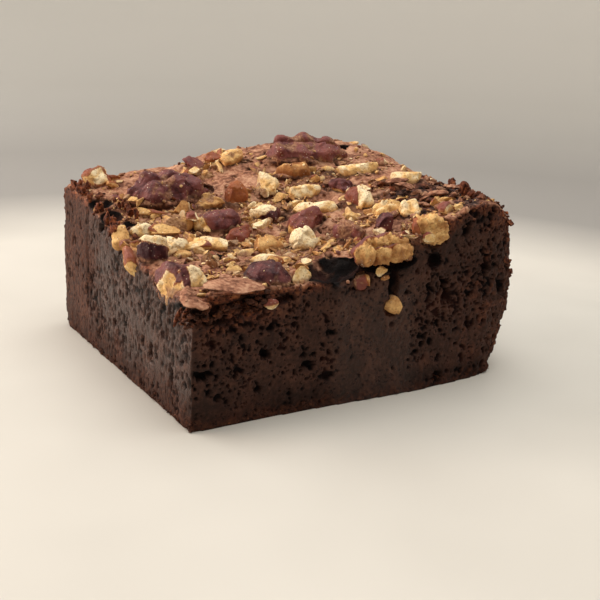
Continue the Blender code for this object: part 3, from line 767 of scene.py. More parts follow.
def makePecan(name, seed, material):
    look = pecans["pieces"][name[6:]]
    shape = nodeShape(name)
    shape.faces.ensure_lookup_table()
    shape.faces.index_update()
    shape.normal_update()
    broken = brokenFaces(shape)
    rest = BVHTree.FromBMesh(shape)
    mesh = bpy.data.meshes.new(name)
    shape.to_mesh(mesh)
    shape.free()
    words = name.split("_")
    obj = newPiece(words[0] + "".join(word.capitalize() for word in words[1:]), mesh, None)
    grid = obj.modifiers.new("grid", "REMESH")
    grid.mode = "VOXEL"
    grid.voxel_size = pecans["grid"] * mm * 1
    mesh = applied(obj)
    points = readPoints(mesh)
    normals = readNormals(mesh)
    onBreak = np.array([rest.find_nearest(Vector(p * mm))[2] in broken for p in points], float)
    points = average(mesh, points, 2)
    onBreak = average(mesh, onBreak, 3)
    centre = points.mean(0)
    long = np.linalg.svd((points - centre)[::7], full_matrices=False)[2]
    dice = np.random.default_rng(seed)
    for turn in range(look.get("cuts", 6)):   # flats where it was chopped or pressed
        way = dice.normal(size=3) * (1, 1, 0.7)
        way /= np.linalg.norm(way)
        over = (points - centre) @ way
        over = over - np.percentile(over, 99.5) * dice.uniform(0.5, 0.84)
        points = points - way * np.maximum(over, 0)[:, None] * 0.92
    bottom = points[:, 2].min() + look.get("trim", 0) + 0.3 * lumps(points, 1.5, seed=seed + 6)
    points[:, 2] = np.maximum(points[:, 2], bottom)
    along, across = (points - centre) @ long[0], (points - centre) @ long[1]
    half = np.abs(along).max()
    bare = barePart(name, look, seed, points, normals, centre, onBreak)
    stretched = np.stack([along * 0.35, across, (points - centre) @ long[2]], -1)
    skinMove = 0.26 * lumps(stretched, 1.1, seed=seed, layers=3)
    skinMove += 0.22 * lumps(points, 2.2, seed=seed + 1, layers=2)
    fromGroove = across - 0.3 * half * lumps(stretched, 5.0, seed=seed + 40)   # a groove winds along it
    skinMove -= 0.35 * np.exp(-(fromGroove / 0.35) ** 2)
    if "lobes" in look:
        side = np.sign(across) * 0.7
        ridge = np.cos(along / half * 3.6 * math.pi + side) * ease(0.4, 1.6, np.abs(across))
        seam = np.exp(-(across / 0.7) ** 2) * ease(-0.3, 0.4, normals[:, 2])   # between its two rows of lobes
        skinMove += look["lobes"] * (0.55 * ridge - 0.9 * seam)
    grainy = look.get("grainy", 0.7)
    gap = grains(points, 1.5, seed=seed + 5)
    fineGap = grains(points, 0.8, seed=seed + 15)
    snapped = facets(points, 2.3, seed=seed + 20)   # little fractures, each flat
    if name.startswith("pecan_slice"):
        grainy *= 0.6
    kernelMove = grainy * (0.22 * (0.5 - gap) + 0.15 * (0.5 - fineGap) + 0.62 * snapped
                           + 0.24 * lumps(points, 2.2, seed=seed + 7))
    kernelMove += look.get("teeth", 0) * (1.1 * (0.45 - fineGap) + 0.5 * (0.5 - gap))
    if "scallops" in look:
        phase = np.abs(((points[:, 0] - centre[0]) / look["scallops"]) % 1 - 0.5)   # 0.5 between two lobes
        kernelMove -= 0.9 * ease(0.34, 0.5, phase) - 0.1
    skinMove += 0.34 * snapped
    move = pecans["swell"] + skinMove * (1 - bare) + kernelMove * bare
    writePoints(mesh, points + normals * move[:, None])
    paint(mesh, "bare", bare)
    paint(mesh, "skin", np.clip(look.get("skin", 0.6) + 0.12 * lumps(points, 2.5, seed=seed + 8), 0, 1))
    # painted shade: darker where the kernel sinks between its grains, over its own roast and random tone
    roast = look.get("roast", 0.3) + 0.4 * (gap - 0.45) + 0.22 * lumps(points, 2.0, seed=seed + 9, layers=2)
    roast += 0.2 * (0.45 - normals[:, 2])   # painted light: paler on top and darker on the sides, by how the light falls
    paint(mesh, "roast", np.clip(roast, 0, 1))
    paint(mesh, "film", filmed(points, look.get("film", 0.15), seed))
    smoothShade(mesh)
    mesh.materials.clear()
    mesh.materials.append(material)
    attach(obj, "root")
    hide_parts(name)
    return obj


def pecanMaterial():
    # pecan, oven-toasted and broken: dark skin with a low waxy gloss, dry pale kernel where it snapped
    material, tree, shader = newMaterial("pecanToastedAndBroken")
    place = addNode(tree, "TexCoord").outputs["Object"]
    bare, skin, roast, film = [addNode(tree, "Attribute", attribute_name=name).outputs["Fac"]
                               for name in ("bare", "skin", "roast", "film")]
    fine = addNode(tree, "TexNoise", {"Vector": place, "Scale": perMm(0.5), "Detail": 4.0}).outputs["Fac"]
    broad = addNode(tree, "TexNoise", {"Vector": place, "Scale": perMm(1.8), "Detail": 3.0}).outputs["Fac"]
    shift = addNode(tree, "MapRange", {
        "Value": broad, "From Min": 0.3, "From Max": 0.7, "To Min": -0.16, "To Max": 0.16}).outputs[0]
    skinAt = addNode(tree, "Math", {0: skin, 1: shift}, operation="ADD").outputs[0]
    roastAt = addNode(tree, "Math", {0: roast, 1: shift}, operation="ADD").outputs[0]
    skinTone = addNode(tree, "ValToRGB", {"Fac": skinAt}, stops=pecans["skinStops"]).outputs[0]
    kernelTone = addNode(tree, "ValToRGB", {"Fac": roastAt}, stops=pecans["kernelStops"]).outputs[0]
    rimColour, toastColour, dustColour = [
        hexToLinear(pecans[key]) for key in ("rimColour", "toastColour", "dustColour")]
    rim = addNode(tree, "ValToRGB", {"Fac": bare}, stops=pecans["rimStops"]).outputs[0]
    colour = addNode(tree, "Mix", {0: bare, 6: skinTone, 7: kernelTone}, data_type="RGBA").outputs[2]
    colour = addNode(tree, "Mix", {0: rim, 6: colour, 7: rimColour}, data_type="RGBA").outputs[2]
    toast = addNode(tree, "MapRange", {
        "Value": fine, "From Min": 0.5, "From Max": 0.72, "To Max": 0.55}).outputs[0]
    toast = addNode(tree, "Math", {0: toast, 1: bare}, operation="MULTIPLY").outputs[0]
    colour = addNode(tree, "Mix", {0: toast, 6: colour, 7: toastColour}, data_type="RGBA").outputs[2]
    # painted shade of fine pits in the kernel, as toasted-brown spots drawn coarser than they are so that
    # they show
    pitShade = addNode(tree, "TexVoronoi", {"Vector": place, "Scale": perMm(0.6)}).outputs["Distance"]
    pitShade = addNode(tree, "MapRange", {
        "Value": pitShade, "From Min": 0.12, "From Max": 0.3, "To Min": 0.45, "To Max": 0.0}).outputs[0]
    pitShade = addNode(tree, "Math", {0: pitShade, 1: bare}, operation="MULTIPLY").outputs[0]
    colour = addNode(tree, "Mix", {0: pitShade, 6: colour, 7: toastColour}, data_type="RGBA").outputs[2]
    filmTone = addNode(tree, "ValToRGB", {"Fac": fine}, stops=pecans["filmStops"]).outputs[0]
    colour = addNode(tree, "Mix", {0: film, 6: colour, 7: filmTone}, data_type="RGBA").outputs[2]
    # pale specks on the skin
    specks = addNode(tree, "TexVoronoi", {"Vector": place, "Scale": perMm(0.75)}).outputs["Distance"]
    specks = addNode(tree, "MapRange", {
        "Value": specks, "From Min": 0.10, "From Max": 0.20, "To Min": 0.75, "To Max": 0.0}).outputs[0]
    speckled = addNode(tree, "MapRange", {"Value": broad, "From Min": 0.46, "From Max": 0.6}).outputs[0]
    specks = addNode(tree, "Math", {0: specks, 1: speckled}, operation="MULTIPLY").outputs[0]
    colour = addNode(tree, "Mix", {0: specks, 6: colour, 7: dustColour}, data_type="RGBA").outputs[2]
    tree.links.new(colour, shader.inputs["Base Color"])
    dry = addNode(tree, "Math", {0: bare, 1: film}, operation="MAXIMUM").outputs[0]
    rough = addNode(tree, "MapRange", {"Value": dry, "To Min": 0.46, "To Max": 0.7}).outputs[0]
    tree.links.new(rough, shader.inputs["Roughness"])
    bump = addNode(tree, "Bump", {"Height": fine, "Strength": 0.85, "Distance": 0.25 * mm}).outputs[0]
    tree.links.new(bump, shader.inputs["Normal"])
    shader.inputs["IOR"].default_value = 1.47
    shader.inputs["Specular IOR Level"].default_value = 0.24
    return material


pecanLook = pecanMaterial()
nuts = [makePecan(name, 100 + 10 * k, pecanLook) for k, name in enumerate(sorted(nodes)) if name != "brownie"]
print("pecans:", len(nuts), "pieces,", sum(len(nut.data.polygons) for nut in nuts), "faces")


def roundBall(levels):
    ball = bmesh.new()
    bmesh.ops.create_icosphere(ball, subdivisions=levels, radius=1.0)
    points = np.array([v.co for v in ball.verts])
    faces = np.array([[v.index for v in f.verts] for f in ball.faces])
    ball.free()
    return points, faces


balls = {levels: roundBall(levels) for levels in (1, 2, 3, 4, 5)}


def chip(dice, size, levels, breaks=7, rough=0.2):   # a ball with flat fractures, about its own centre, in mm
    points, faces = balls[levels]
    points = points * (1 + 0.3 * lumps(points + dice.uniform(0, 90, 3), 0.9, seed=3)[:, None])
    bare = np.zeros(len(points))
    for turn in range(breaks):
        way = dice.normal(size=3)
        way /= np.linalg.norm(way)
        over = points @ way - dice.uniform(0.3, 0.7)
        bare = np.maximum(bare, ease(-0.02, 0.06, over))
        points = points - way * np.maximum(over, 0)[:, None]
    points = points * size
    place = points + dice.uniform(0, 90, 3)
    uneven = lumps(place, 0.5 * max(size), seed=8, layers=2) + 0.8 * (0.5 - grains(place, 0.6, seed=4))
    return points * (1 + rough * uneven)[:, None], faces, bare


def joined(name, parts):   # one mesh of many (points, faces, attributes)
    allPoints, allFaces, numbers, start = [], [], {}, 0
    for points, faces, marks in parts:
        allPoints.append(np.maximum(points, (-np.inf, -np.inf, 0)))   # nothing sinks below the base
        allFaces.append(faces + start)
        start += len(points)
        for key, value in marks.items():
            numbers.setdefault(key, []).append(np.broadcast_to(value, len(points)))
    mesh = bpy.data.meshes.new(name)
    mesh.from_pydata(np.concatenate(allPoints) * mm, [], np.concatenate(allFaces).tolist())
    mesh.update()
    smoothShade(mesh)
    for key, value in numbers.items():
        paint(mesh, key, np.concatenate(value))
    return mesh


def surfaceOf(objs):
    corners, faces = [], []
    for obj in objs:
        start = len(corners)
        corners += [v.co.copy() for v in obj.data.vertices]
        faces += [[i + start for i in p.vertices] for p in obj.data.polygons]
    return BVHTree.FromPolygons(corners, faces)


bodyTop, nutTop = surfaceOf([body]), surfaceOf(nuts)


def inHollow(spot):   # spot in mm from the cut corner
    hollows = brownie["hollows"].values()
    return any(np.linalg.norm((spot - middle) / halves) < 1.15 for middle, halves in hollows)


# the point and normal that a bit falls on, and if that is a nut; x and y in mm from the cut corner
def dropped(x, y):
    start = Vector(((cutCorner[0] + x) * mm, (cutCorner[1] + y) * mm, 0.08))
    hit, normal = bodyTop.ray_cast(start, Vector((0, 0, -1)))[:2]
    nutHit, nutNormal = nutTop.ray_cast(start, Vector((0, 0, -1)))[:2]
    onNut = bool(nutHit and (not hit or nutHit.z > hit.z))
    if onNut:
        hit, normal = nutHit, nutNormal
    if not hit:
        return None, None, False
    spot = np.array(hit) / mm
    if inHollow(spot - cutCorner):
        return None, None, False
    return spot, np.array(normal), onNut


def turned(points, normal, dice):   # lays a bit's own Z along the normal, at any heading
    spin = Matrix.Rotation(dice.uniform(0, math.tau), 3, "Z")
    lay = Vector((0, 0, 1)).rotation_difference(Vector(normal)).to_matrix()
    return points @ np.array(lay @ spin).T


# how many, size in mm, levels of its ball, how much of it is sunk, length over width, odds of lying on a nut
chips = {
    "pieces":
        {"count": 150, "size": (2.4, 4.2), "levels": 4, "sunk": 0.40, "long": (1.1, 2.1), "onNuts": 0.0},
    "bits":
        {"count": 480, "size": (1.2, 2.5), "levels": 3, "sunk": 0.32, "long": (1.1, 2.2), "onNuts": 0.0},
    "splinters":
        {"count": 90, "size": (2.2, 4.4), "levels": 3, "sunk": 0.25, "long": (2.2, 3.6), "onNuts": 0.0},
    "crumbs":
        {"count": 760, "size": (0.5, 1.2), "levels": 2, "sunk": 0.25, "long": (1.0, 1.7), "onNuts": 0.12},
    "dust":
        {"count": 1300, "size": (0.18, 0.42), "levels": 1, "sunk": 0.1, "long": (1.0, 1.5), "onNuts": 0.6},
}

# nuts too small for the CAD: middle in mm from the cut corner; length, width and height in mm; heading and
# lean in degrees; tones
smallNuts = {
    "edge sliver": ((0.1, 26.4, 24.4), (6.2, 3.2, 3.0), -86, 46, {"skin": 0.8, "roast": 0.3}),
    "edge sliver top": ((1.2, 28.2, 26.0), (3.0, 2.2, 2.0), -60, 20, {"skin": 0.9, "roast": 0.6}),
    "edge nib": ((0.6, 30.8, 26.6), (2.4, 1.8, 2.2), 10, 0, {"skin": 0.3, "roast": 0.5}),
    "under the left half": ((8.6, 41.0, 31.0), (8.2, 2.0, 1.5), -42, 0, {"skin": 0.7, "roast": 0.22}),
    "back red": ((28.4, 58.6, 37.4), (6.4, 4.0, 3.2), 25, 0, {"skin": 0.4, "roast": 0.5, "whole": True}),
    "back pink": ((26.6, 55.0, 36.4), (4.2, 3.0, 2.2), 10, 0, {"skin": 0.7, "roast": 0.1}),
    "back tan": ((33.0, 57.4, 38.2), (4.2, 3.2, 3.0), -30, 0, {"skin": 0.8, "roast": 0.55}),
    "corner orange": ((7.2, 56.4, 34.0), (4.8, 3.2, 4.0), 70, 20, {"skin": 1.0, "roast": 0.5}),
    "corner brown": ((9.4, 59.6, 35.0), (4.0, 2.4, 2.2), 20, 0, {"skin": 0.8, "roast": 0.6}),
    "violet by the edge":
        ((45.6, 7.4, 32.6), (6.4, 4.2, 2.8), 20, -12, {"skin": 0.15, "roast": 0.2, "whole": True}),
    "pale by the purple": ((20.6, 8.2, 26.4), (3.2, 3.6, 2.8), 70, 0, {"skin": 0.9, "roast": 0.45}),
    "pale by the hole": ((23.4, 2.4, 25.4), (3.8, 3.2, 3.6), 20, 0, {"skin": 0.9, "roast": 0.12}),
    "orange by the hole": ((25.6, 6.0, 26.4), (2.6, 2.2, 2.0), 0, 0, {"skin": 1.0, "roast": 0.7}),
    "pink by the hole": ((27.0, 6.8, 26.9), (2.2, 1.6, 1.6), 30, 0, {"skin": 0.8, "roast": 0.0}),
    "in the undercut": ((15.4, 0.2, 21.9), (3.6, 2.0, 1.9), 0, -8, {"skin": 0.6, "roast": 0.15}),
    "by the notch": ((39.6, -0.1, 25.7), (2.3, 1.4, 1.9), 10, 0, {"skin": 0.6, "roast": 0.2}),
    "tan by the notch": ((40.6, -0.2, 24.3), (2.2, 1.3, 1.2), 20, 0, {"skin": 0.9, "roast": 0.7}),
    "under the tan": ((51.0, -0.3, 31.2), (3.2, 2.2, 2.0), 10, 0, {"skin": 0.6, "roast": 0.2}),
    "right small": ((57.4, 3.4, 35.4), (3.2, 2.8, 2.4), 10, 0, {"skin": 0.6, "roast": 0.1}),
    "right tiny": ((57.8, 6.8, 36.4), (2.0, 2.0, 2.2), 10, 0, {"skin": 0.6, "roast": 0.35}),
    "white bit one": ((42.6, 5.6, 31.6), (2.8, 1.6, 1.6), -40, 0, {"skin": 0.6, "roast": 0.0}),
    "white bit two": ((46.4, 1.6, 31.9), (2.3, 1.6, 1.4), 0, 0, {"skin": 0.6, "roast": 0.0}),
    "white bit three": ((49.2, 3.0, 33.2), (3.8, 1.5, 1.4), 14, 0, {"skin": 0.6, "roast": 0.05}),
    "behind the red wedge": ((52.6, 24.6, 36.2), (3.4, 2.4, 3.0), 60, 0, {"skin": 0.6, "roast": 0.05}),
    "slice beside the slim": ((13.0, 23.6, 27.6), (6.6, 4.2, 2.4), -10, 0, {"skin": 0.6, "roast": 0.15}),
    "yellow before the lump": ((9.6, 30.6, 29.0), (6.2, 3.4, 2.4), -28, 0, {"skin": 0.6, "roast": 0.3}),
    "white by the stick": ((15.2, 31.2, 31.2), (3.0, 2.8, 2.8), 0, 0, {"skin": 0.6, "roast": 0.0}),
    "tan behind the stick": ((15.6, 38.4, 32.0), (3.6, 2.4, 3.6), 20, 0, {"skin": 0.9, "roast": 0.65}),
    "between the reds": ((27.6, 24.2, 30.6), (5.4, 2.4, 1.8), 24, 0, {"skin": 0.3, "roast": 0.05}),
    "far right small": ((58.4, 26.4, 37.6), (3.6, 2.4, 1.6), -20, 0, {"skin": 0.7, "roast": 0.5}),
}


chipWaste = 1.12   # how much larger a chip is begun, for what its fractures take away


def chipOdds(x, y):   # chips lie thickest over the front and middle of the crust
    middle = math.exp(-((x - 28) / 22) ** 2 - ((y - 18) / 17) ** 2)
    left = math.exp(-((x - 12) / 15) ** 2 - ((y - 32) / 11) ** 2)
    rightNuts = 0.8 * math.exp(-((x - 51) / 9) ** 2 - ((y - 10) / 8) ** 2)
    corner = 0.6 * math.exp(-((x - 6) / 5) ** 2 - ((y - 58) / 5) ** 2)
    back = 0.8 * math.exp(-((x - 32) / 8) ** 2 - ((y - 56) / 4) ** 2)
    slices = 0.7 * math.exp(-((x - 48) / 12) ** 2 - ((y - 37) / 6) ** 2)
    plates = 1 - 0.9 * math.exp(-((x - 7) / 8) ** 2 - ((y - 1) / 4) ** 2)
    clump = 0.5 + 0.5 * float(lumps(np.array([[x, y, 3.0]]), 5.0, seed=90)[0])
    clump = 0.08 + 1.2 * float(ease(0.3, 0.66, clump))
    return min(1.0, (1.2 * max(middle, left) + rightNuts + corner + back + slices) * clump) * plates + 0.015


# tipped about its own width, turned about Z, and moved to its spot, in mm from the cut corner
def placed(points, spot, heading, lean):
    way = Matrix.Rotation(math.radians(heading), 3, "Z") @ Matrix.Rotation(math.radians(lean), 3, "Y")
    return points @ np.array(way).T + cutCorner + spot


def makeChips():
    dice = np.random.default_rng(5)
    parts = {kind: [] for kind in chips}
    for kind, look in chips.items():
        while len(parts[kind]) < look["count"]:
            x, y = dice.uniform(0.8, 74), dice.uniform(0.8, 66)
            if dice.random() > chipOdds(x, y):
                continue
            spot, normal, onNut = dropped(x, y)
            if spot is None or normal[2] < 0.3 or (onNut and dice.random() > look["onNuts"]):
                continue
            size = dice.uniform(*look["size"])
            scale = size / 2 * np.array((1, 1 / dice.uniform(*look["long"]), dice.uniform(0.3, 0.65)))
            points, faces, bare = chip(dice, scale, look["levels"], rough=0.12)
            normal = normal + dice.normal(0, 0.3, 3) * (1, 1, 0)   # few lie quite flat
            normal /= np.linalg.norm(normal)
            bare = bare if dice.random() < 0.35 else np.ones(len(bare))
            roast = np.clip(dice.normal(0.24, 0.2), 0, 1) + 0.2 * lumps(points, 1.0, seed=6)
            points = turned(points, normal, dice) + spot + normal * scale[2] * (1 - 2 * look["sunk"])
            share = dice.choice((0.0, 0.2, 0.5, 0.8), p=(0.35, 0.25, 0.2, 0.2))
            film = filmed(points, share, 7) if kind in ("pieces", "bits") else share * 0.6
            marks = {"bare": bare, "skin": dice.uniform(0.1, 0.9), "roast": roast, "film": film}
            parts[kind].append((points, faces, marks))
    named = []
    for spot, size, heading, lean, look in smallNuts.values():
        points, faces, bare = chip(dice, np.array(size) / 2 * chipWaste, 4, breaks=5)
        bare = bare * 0 if look.get("whole") else np.maximum(bare, ease(0.25, -0.1, balls[4][0][:, 2]))
        roast = look["roast"] + 0.2 * lumps(points, 1.2, seed=6, layers=2)
        points = placed(points, spot, heading, lean)
        film = filmed(points, 0.1, 7)
        named.append((points, faces, {"bare": bare, "skin": look["skin"], "roast": roast, "film": film}))
    lots = {
        "pecanPieces": parts["pieces"], "pecanBits": parts["bits"] + parts["splinters"],
        "pecanCrumbs": parts["crumbs"] + parts["dust"], "pecanSmallNuts": named,
    }
    for name, lot in lots.items():
        mesh = joined(name, lot)
        newPiece(name, mesh, pecanLook)
        print(name + ":", len(lot), "bits,", len(mesh.polygons), "faces")


makeChips()


# crust that lifted off in plates: middle in mm from the cut corner; length, width and thickness in mm;
# heading, lean and roll in degrees; curl; rust
flakes = {
    "corner plate": ((9.2, 2.0, 25.7), (12.0, 6.0, 1.0), 3, -3, 10, 0.4, 0.0),
    "corner plate edge": ((8.6, -0.4, 25.0), (8.4, 1.0, 0.9), 5, -6, 0, 0.2, 0.7),
    "corner plate end": ((4.0, 0.6, 24.6), (1.8, 2.2, 2.4), 20, 0, 0, 0.1, 0.6),
    "corner tongue": ((0.9, 0.6, 24.0), (5.4, 3.8, 1.2), -38, -14, 12, 0.6, 0.0),
    "corner tongue end": ((2.6, -0.2, 23.2), (1.9, 1.5, 1.5), 0, 0, 0, 0.1, 0.8),
    "left fold": ((0.7, 3.6, 24.8), (6.4, 1.9, 1.1), 62, 6, 0, 0.4, 0.1),
    "left strand": ((0.0, 5.7, 19.8), (4.8, 1.0, 0.9), -88, 58, 0, 0.2, 0.35),
    "left strand two": ((-0.1, 2.0, 21.9), (3.4, 1.0, 0.9), -84, 50, 0, 0.2, 0.5),
    "torn skin one": ((57.6, 16.8, 38.2), (5.6, 3.8, 1.2), 20, -10, 8, 0.7, 0.0),
    "torn skin two": ((61.6, 11.4, 37.4), (4.8, 3.2, 1.3), -20, 8, -6, 0.6, 0.05),
    "torn skin three": ((66.8, 12.4, 38.2), (4.4, 3.0, 1.1), 50, -8, 0, 0.5, 0.2),
    "torn skin four": ((58.8, 21.6, 38.4), (5.2, 2.8, 1.0), -30, 8, 0, 0.5, 0.1),
}

# ragged crumb that stands along a rim: places in mm from the cut corner that it runs through, size, how many
rims = {
    "right": (((66.4, 8.6, 37.2), (69.0, 7.0, 36.2), (71.6, 4.6, 34.0), (73.6, 3.2, 31.6)), (1.2, 2.8), 30),
    "right horn": (((67.0, 8.4, 36.8), (66.6, 8.8, 38.6)), (2.0, 3.0), 6),
    "right back": (((67.6, 9.4, 37.2), (70.4, 14.0, 37.4), (71.6, 20.0, 37.4)), (0.9, 1.9), 20),
    "left": (((0.8, 35.0, 28.9), (0.7, 40.0, 30.0), (0.9, 45.0, 31.4), (0.5, 47.6, 32.0)), (1.2, 3.0), 24),
    "left back": (((0.6, 51.8, 33.0), (0.6, 56.0, 33.4), (1.0, 62.0, 33.6)), (1.0, 2.4), 16),
    "left inner":
        (((4.4, 36.6, 30.6), (5.8, 41.8, 31.6), (4.8, 46.6, 32.6), (4.2, 51.0, 33.4)), (0.8, 2.0), 20),
}

# loose crumb of the brownie: how many, size in mm, share of rust, and a box of places from the cut corner
crumbLots = {
    "torn patch": {"count": 90, "size": (0.8, 2.4), "rust": 0.3, "low": (51, 3), "high": (72, 26)},
    "right rim": {"count": 110, "size": (0.6, 1.9), "rust": 1.0, "low": (70.5, 0.5), "high": (76.5, 30)},
    "left rim": {"count": 60, "size": (0.6, 1.6), "rust": 1.0, "low": (0.2, 30), "high": (4.6, 64)},
    "front rim": {"count": 60, "size": (0.4, 1.1), "rust": 0.4, "low": (14, 0.1), "high": (72, 1.2)},
    "among the nuts": {"count": 260, "size": (0.4, 1.3), "rust": 0.25, "low": (2, 2), "high": (56, 40)},
    "back": {"count": 60, "size": (0.4, 1.2), "rust": 0.5, "low": (2, 40), "high": (72, 64)},
}


crumbForm = np.array((1.2, 1.0, 0.8))   # length, width and height of a crumb, as parts of its size


def crumbMarks(**marks):   # what the brownie's material reads from a loose bit: nothing but what is named
    return {"crust": 0.0, "rust": 0.0, "hollow": 0.0, "smear": 0.0, "torn": 0.0, "left": 0.0, **marks}


def strewnCrumbs(dice):
    crumbs = []
    for look in crumbLots.values():
        for turn in range(look["count"]):
            x = dice.uniform(look["low"][0], look["high"][0])
            y = dice.uniform(look["low"][1], look["high"][1])
            spot, normal, onNut = dropped(x, y)
            if spot is None or onNut:
                continue
            size = dice.uniform(*look["size"]) / 2
            points, faces, _ = chip(dice, size * crumbForm, 3 if size > 0.5 else 2, rough=0.35)
            points = turned(points, normal, dice) + spot + normal * size * 0.3
            crusty = float(dice.random() > look["rust"])
            rust = (1 - crusty) * dice.uniform(0.3, 1)
            torn = dice.uniform(0, 0.6)
            crumbs.append((points, faces, crumbMarks(crust=0.8 * crusty, rust=rust, torn=torn)))
    return crumbs


def undercutCrumbs(dice):   # round the front corner, below the plates of crust, with a little painted shade
    crumbs = []
    for turn in range(110):
        along = dice.uniform(-2.5, 17)   # below 0 it is on the short cut
        spot = (max(along, 0.0), -min(along, 0) * 1.5 + 0.3, 20.6 + 0.1 * along + dice.normal(0, 0.8))
        size = dice.uniform(0.4, 1.7) / 2
        points, faces, _ = chip(dice, size * crumbForm, 3 if size > 0.4 else 2, rough=0.35)
        crumbs.append((points + cutCorner + spot, faces, crumbMarks(rust=dice.uniform(0, 0.5), hollow=0.1)))
    return crumbs


def footCrumbs(dice):   # along the foot of the two cuts, darkened with painted shade
    crumbs = []
    for turn in range(380):
        front = dice.random() < 0.65
        along = dice.uniform(0, 70 if front else 62)
        size = dice.uniform(0.4, 1.0) / 2 * (1.0 + 1.2 * dice.random() * (20 < along < 68) * front)
        points, faces, _ = chip(dice, size * crumbForm, 2, rough=0.35)
        rise = size * 0.9 + abs(dice.normal(0, 0.5))
        points = points + cutCorner + ((along, 0.25, rise) if front else (0.25, along, rise))
        crumbs.append((points, faces, crumbMarks(rust=dice.uniform(0, 0.4), hollow=0.3)))
    return crumbs


def rimCrumbs(dice):
    crumbs = []
    for run, sizes, count in rims.values():
        run = np.array(run)
        for turn in range(count):
            share = dice.uniform(0, len(run) - 1.001)
            leg = int(share)
            spot = run[leg] + (share % 1) * (run[leg + 1] - run[leg]) + dice.normal(0, 0.35, 3)
            if inHollow(spot):
                continue
            size = dice.uniform(*sizes) / 2
            points, faces, _ = chip(dice, size * np.array((0.8, 0.9, 1.25)), 3, rough=0.4)
            crumbs.append((points + cutCorner + spot, faces, crumbMarks(rust=dice.uniform(0.6, 1))))
    return crumbs


def crustPlates():
    plates = []
    points, faces = balls[5]
    for number, (spot, size, heading, lean, roll, curl, rust) in enumerate(flakes.values()):
        place = points * 2 + 13 * number
        ragged = 1 + 0.35 * lumps(place * (1, 1, 0.2), 1.2, seed=11, layers=2)
        flat = points[:, :2] * ragged[:, None]
        top = points[:, 2] * (0.75 + 0.25 * lumps(place, 1.0, seed=12, layers=2))
        top = top - 0.5 * curl * (flat ** 2).sum(1)   # the ends curl down
        top = top * size[2] / 2 + curl * 0.25 * lumps(place, 1.3, seed=13)
        shape = np.stack([flat[:, 0] * size[0] / 2, flat[:, 1] * size[1] / 2, top], -1)
        shape = shape @ np.array(Matrix.Rotation(math.radians(roll), 3, "X")).T
        crusty = ease(-0.1, 0.3, points[:, 2]) * (1 - rust)
        below = 0.8 * ease(0.1, -0.2, points[:, 2])
        marks = crumbMarks(crust=crusty, rust=np.maximum(rust, below))
        plates.append((placed(shape, spot, heading, -lean), faces, marks))
    return plates


def makeCrumbs():
    dice = np.random.default_rng(9)
    crumbs = strewnCrumbs(dice) + undercutCrumbs(dice) + footCrumbs(dice) + rimCrumbs(dice)
    for name, lot in (("brownieCrumbs", crumbs), ("crustPlates", crustPlates())):
        mesh = joined(name, lot)
        newPiece(name, mesh, brownieLook)
        print(name + ":", len(lot), "bits,", len(mesh.polygons), "faces")


makeCrumbs()


# room: pale tent, soft lights, camera
room = {
    "floorStops": ((0.3, "#d0ccc4"), (0.7, "#d8d4cc")),
    "wallStops": ((0.0, "#969390"), (1.0, "#dcd9d2")),   # from its foot up
    "tentProfile": ((0, 0), (430, 0), (560, 12), (660, 60), (720, 150), (745, 300), (750, 620)),   # mm
    "worldColour": "#f0ede8",
    "worldStrength": 0.2,
    "lights": {   # place from the middle of the base in mm, size in mm, watts, colour
        "windowBehind": ((-300, 430, 330), 420, 1.8, "#fffaf3"),
        "softTop": ((80, 0, 560), 640, 3.2, "#fffcf6"),
        "sheenLeft": ((-430, 200, 130), 300, 1.7, "#ffe6d2"),
    },
}


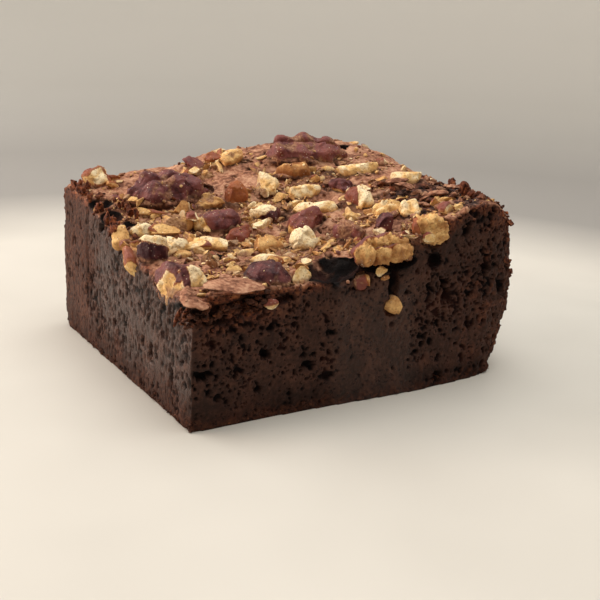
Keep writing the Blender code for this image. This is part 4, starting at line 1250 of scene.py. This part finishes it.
def makeRoom():
    shape = bmesh.new()
    rings = []
    around = 96
    for radius, height in room["tentProfile"]:
        if radius == 0:
            rings.append([shape.verts.new((0, 0, 0))])
        else:
            rings.append([shape.verts.new((radius * mm * math.cos(math.tau * k / around),
                                           radius * mm * math.sin(math.tau * k / around), height * mm))
                          for k in range(around)])
    for inner, outer in zip(rings, rings[1:]):
        for k in range(around):
            j = (k + 1) % around
            if len(inner) == 1:
                shape.faces.new([inner[0], outer[k], outer[j]])
            else:
                shape.faces.new([inner[k], outer[k], outer[j], inner[j]])
    mesh = bpy.data.meshes.new("paleTent")
    shape.to_mesh(mesh)
    shape.free()
    smoothShade(mesh)
    tent = bpy.data.objects.new("paleTent", mesh)
    scene.collection.objects.link(tent)
    material, tree, shader = newMaterial("matteWhitePaintedBoard")
    place = addNode(tree, "TexCoord").outputs["Object"]
    grain = addNode(tree, "TexNoise", {"Vector": place, "Scale": perMm(40), "Detail": 2.0}).outputs["Fac"]
    tone = addNode(tree, "ValToRGB", {"Fac": grain}, stops=room["floorStops"]).outputs[0]
    away = addNode(tree, "VectorMath", {0: place}, operation="LENGTH").outputs["Value"]
    rise = addNode(tree, "MapRange", {"Value": away, "From Min": 0.12, "From Max": 0.19}).outputs[0]
    climb = addNode(tree, "MapRange", {"Value": away, "From Min": 0.30, "From Max": 0.75}).outputs[0]
    wall = addNode(tree, "ValToRGB", {"Fac": climb}, stops=room["wallStops"]).outputs[0]
    tone = addNode(tree, "Mix", {0: rise, 6: tone, 7: wall}, data_type="RGBA").outputs[2]
    tree.links.new(tone, shader.inputs["Base Color"])
    shader.inputs["Roughness"].default_value = 0.5
    mesh.materials.append(material)
    world = bpy.data.worlds.new("softDaylight")
    scene.world = world
    world.use_nodes = True
    sky = world.node_tree.nodes["Background"]
    sky.inputs["Color"].default_value = hexToLinear(room["worldColour"])
    sky.inputs["Strength"].default_value = room["worldStrength"]
    for name, (spot, size, watts, colour) in room["lights"].items():
        lamp = bpy.data.lights.new(name, "AREA")
        lamp.shape = "DISK"
        lamp.size = size * mm
        lamp.energy = watts
        lamp.color = hexToLinear(colour)[:3]
        obj = bpy.data.objects.new(name, lamp)
        scene.collection.objects.link(obj)
        obj.location = Vector(spot) * mm
        obj.rotation_euler = (Vector((0, 0, 0.02)) - obj.location).to_track_quat("-Z", "Y").to_euler()


camera = {
    "place": (-65.1, -133.9, 70.4),   # mm from the foot of the cut corner
    "heading": 32.91,                 # degrees from +Y towards +X
    "down": 16.89,
    "tilt": 2.90,
    "lens": 55.3,
}


def makeCamera():
    data = bpy.data.cameras.new("camera")
    data.sensor_width = 36
    data.lens = camera["lens"]
    data.clip_start = 0.005
    obj = bpy.data.objects.new("camera", data)
    scene.collection.objects.link(obj)
    heading, down, tilt = (math.radians(camera[key]) for key in ("heading", "down", "tilt"))
    ahead = Vector((math.sin(heading) * math.cos(down), math.cos(heading) * math.cos(down), -math.sin(down)))
    level = Vector((math.cos(heading), -math.sin(heading), 0))
    upright = level.cross(ahead)
    right = level * math.cos(tilt) + upright * math.sin(tilt)
    up = upright * math.cos(tilt) - level * math.sin(tilt)
    facing = Matrix((right, up, -ahead)).transposed().to_4x4()
    obj.matrix_world = Matrix.Translation(Vector((cutCorner + camera["place"]) * mm)) @ facing
    scene.camera = obj


makeRoom()
makeCamera()
scene.view_settings.view_transform = "Standard"
print("room, lights and camera placed")
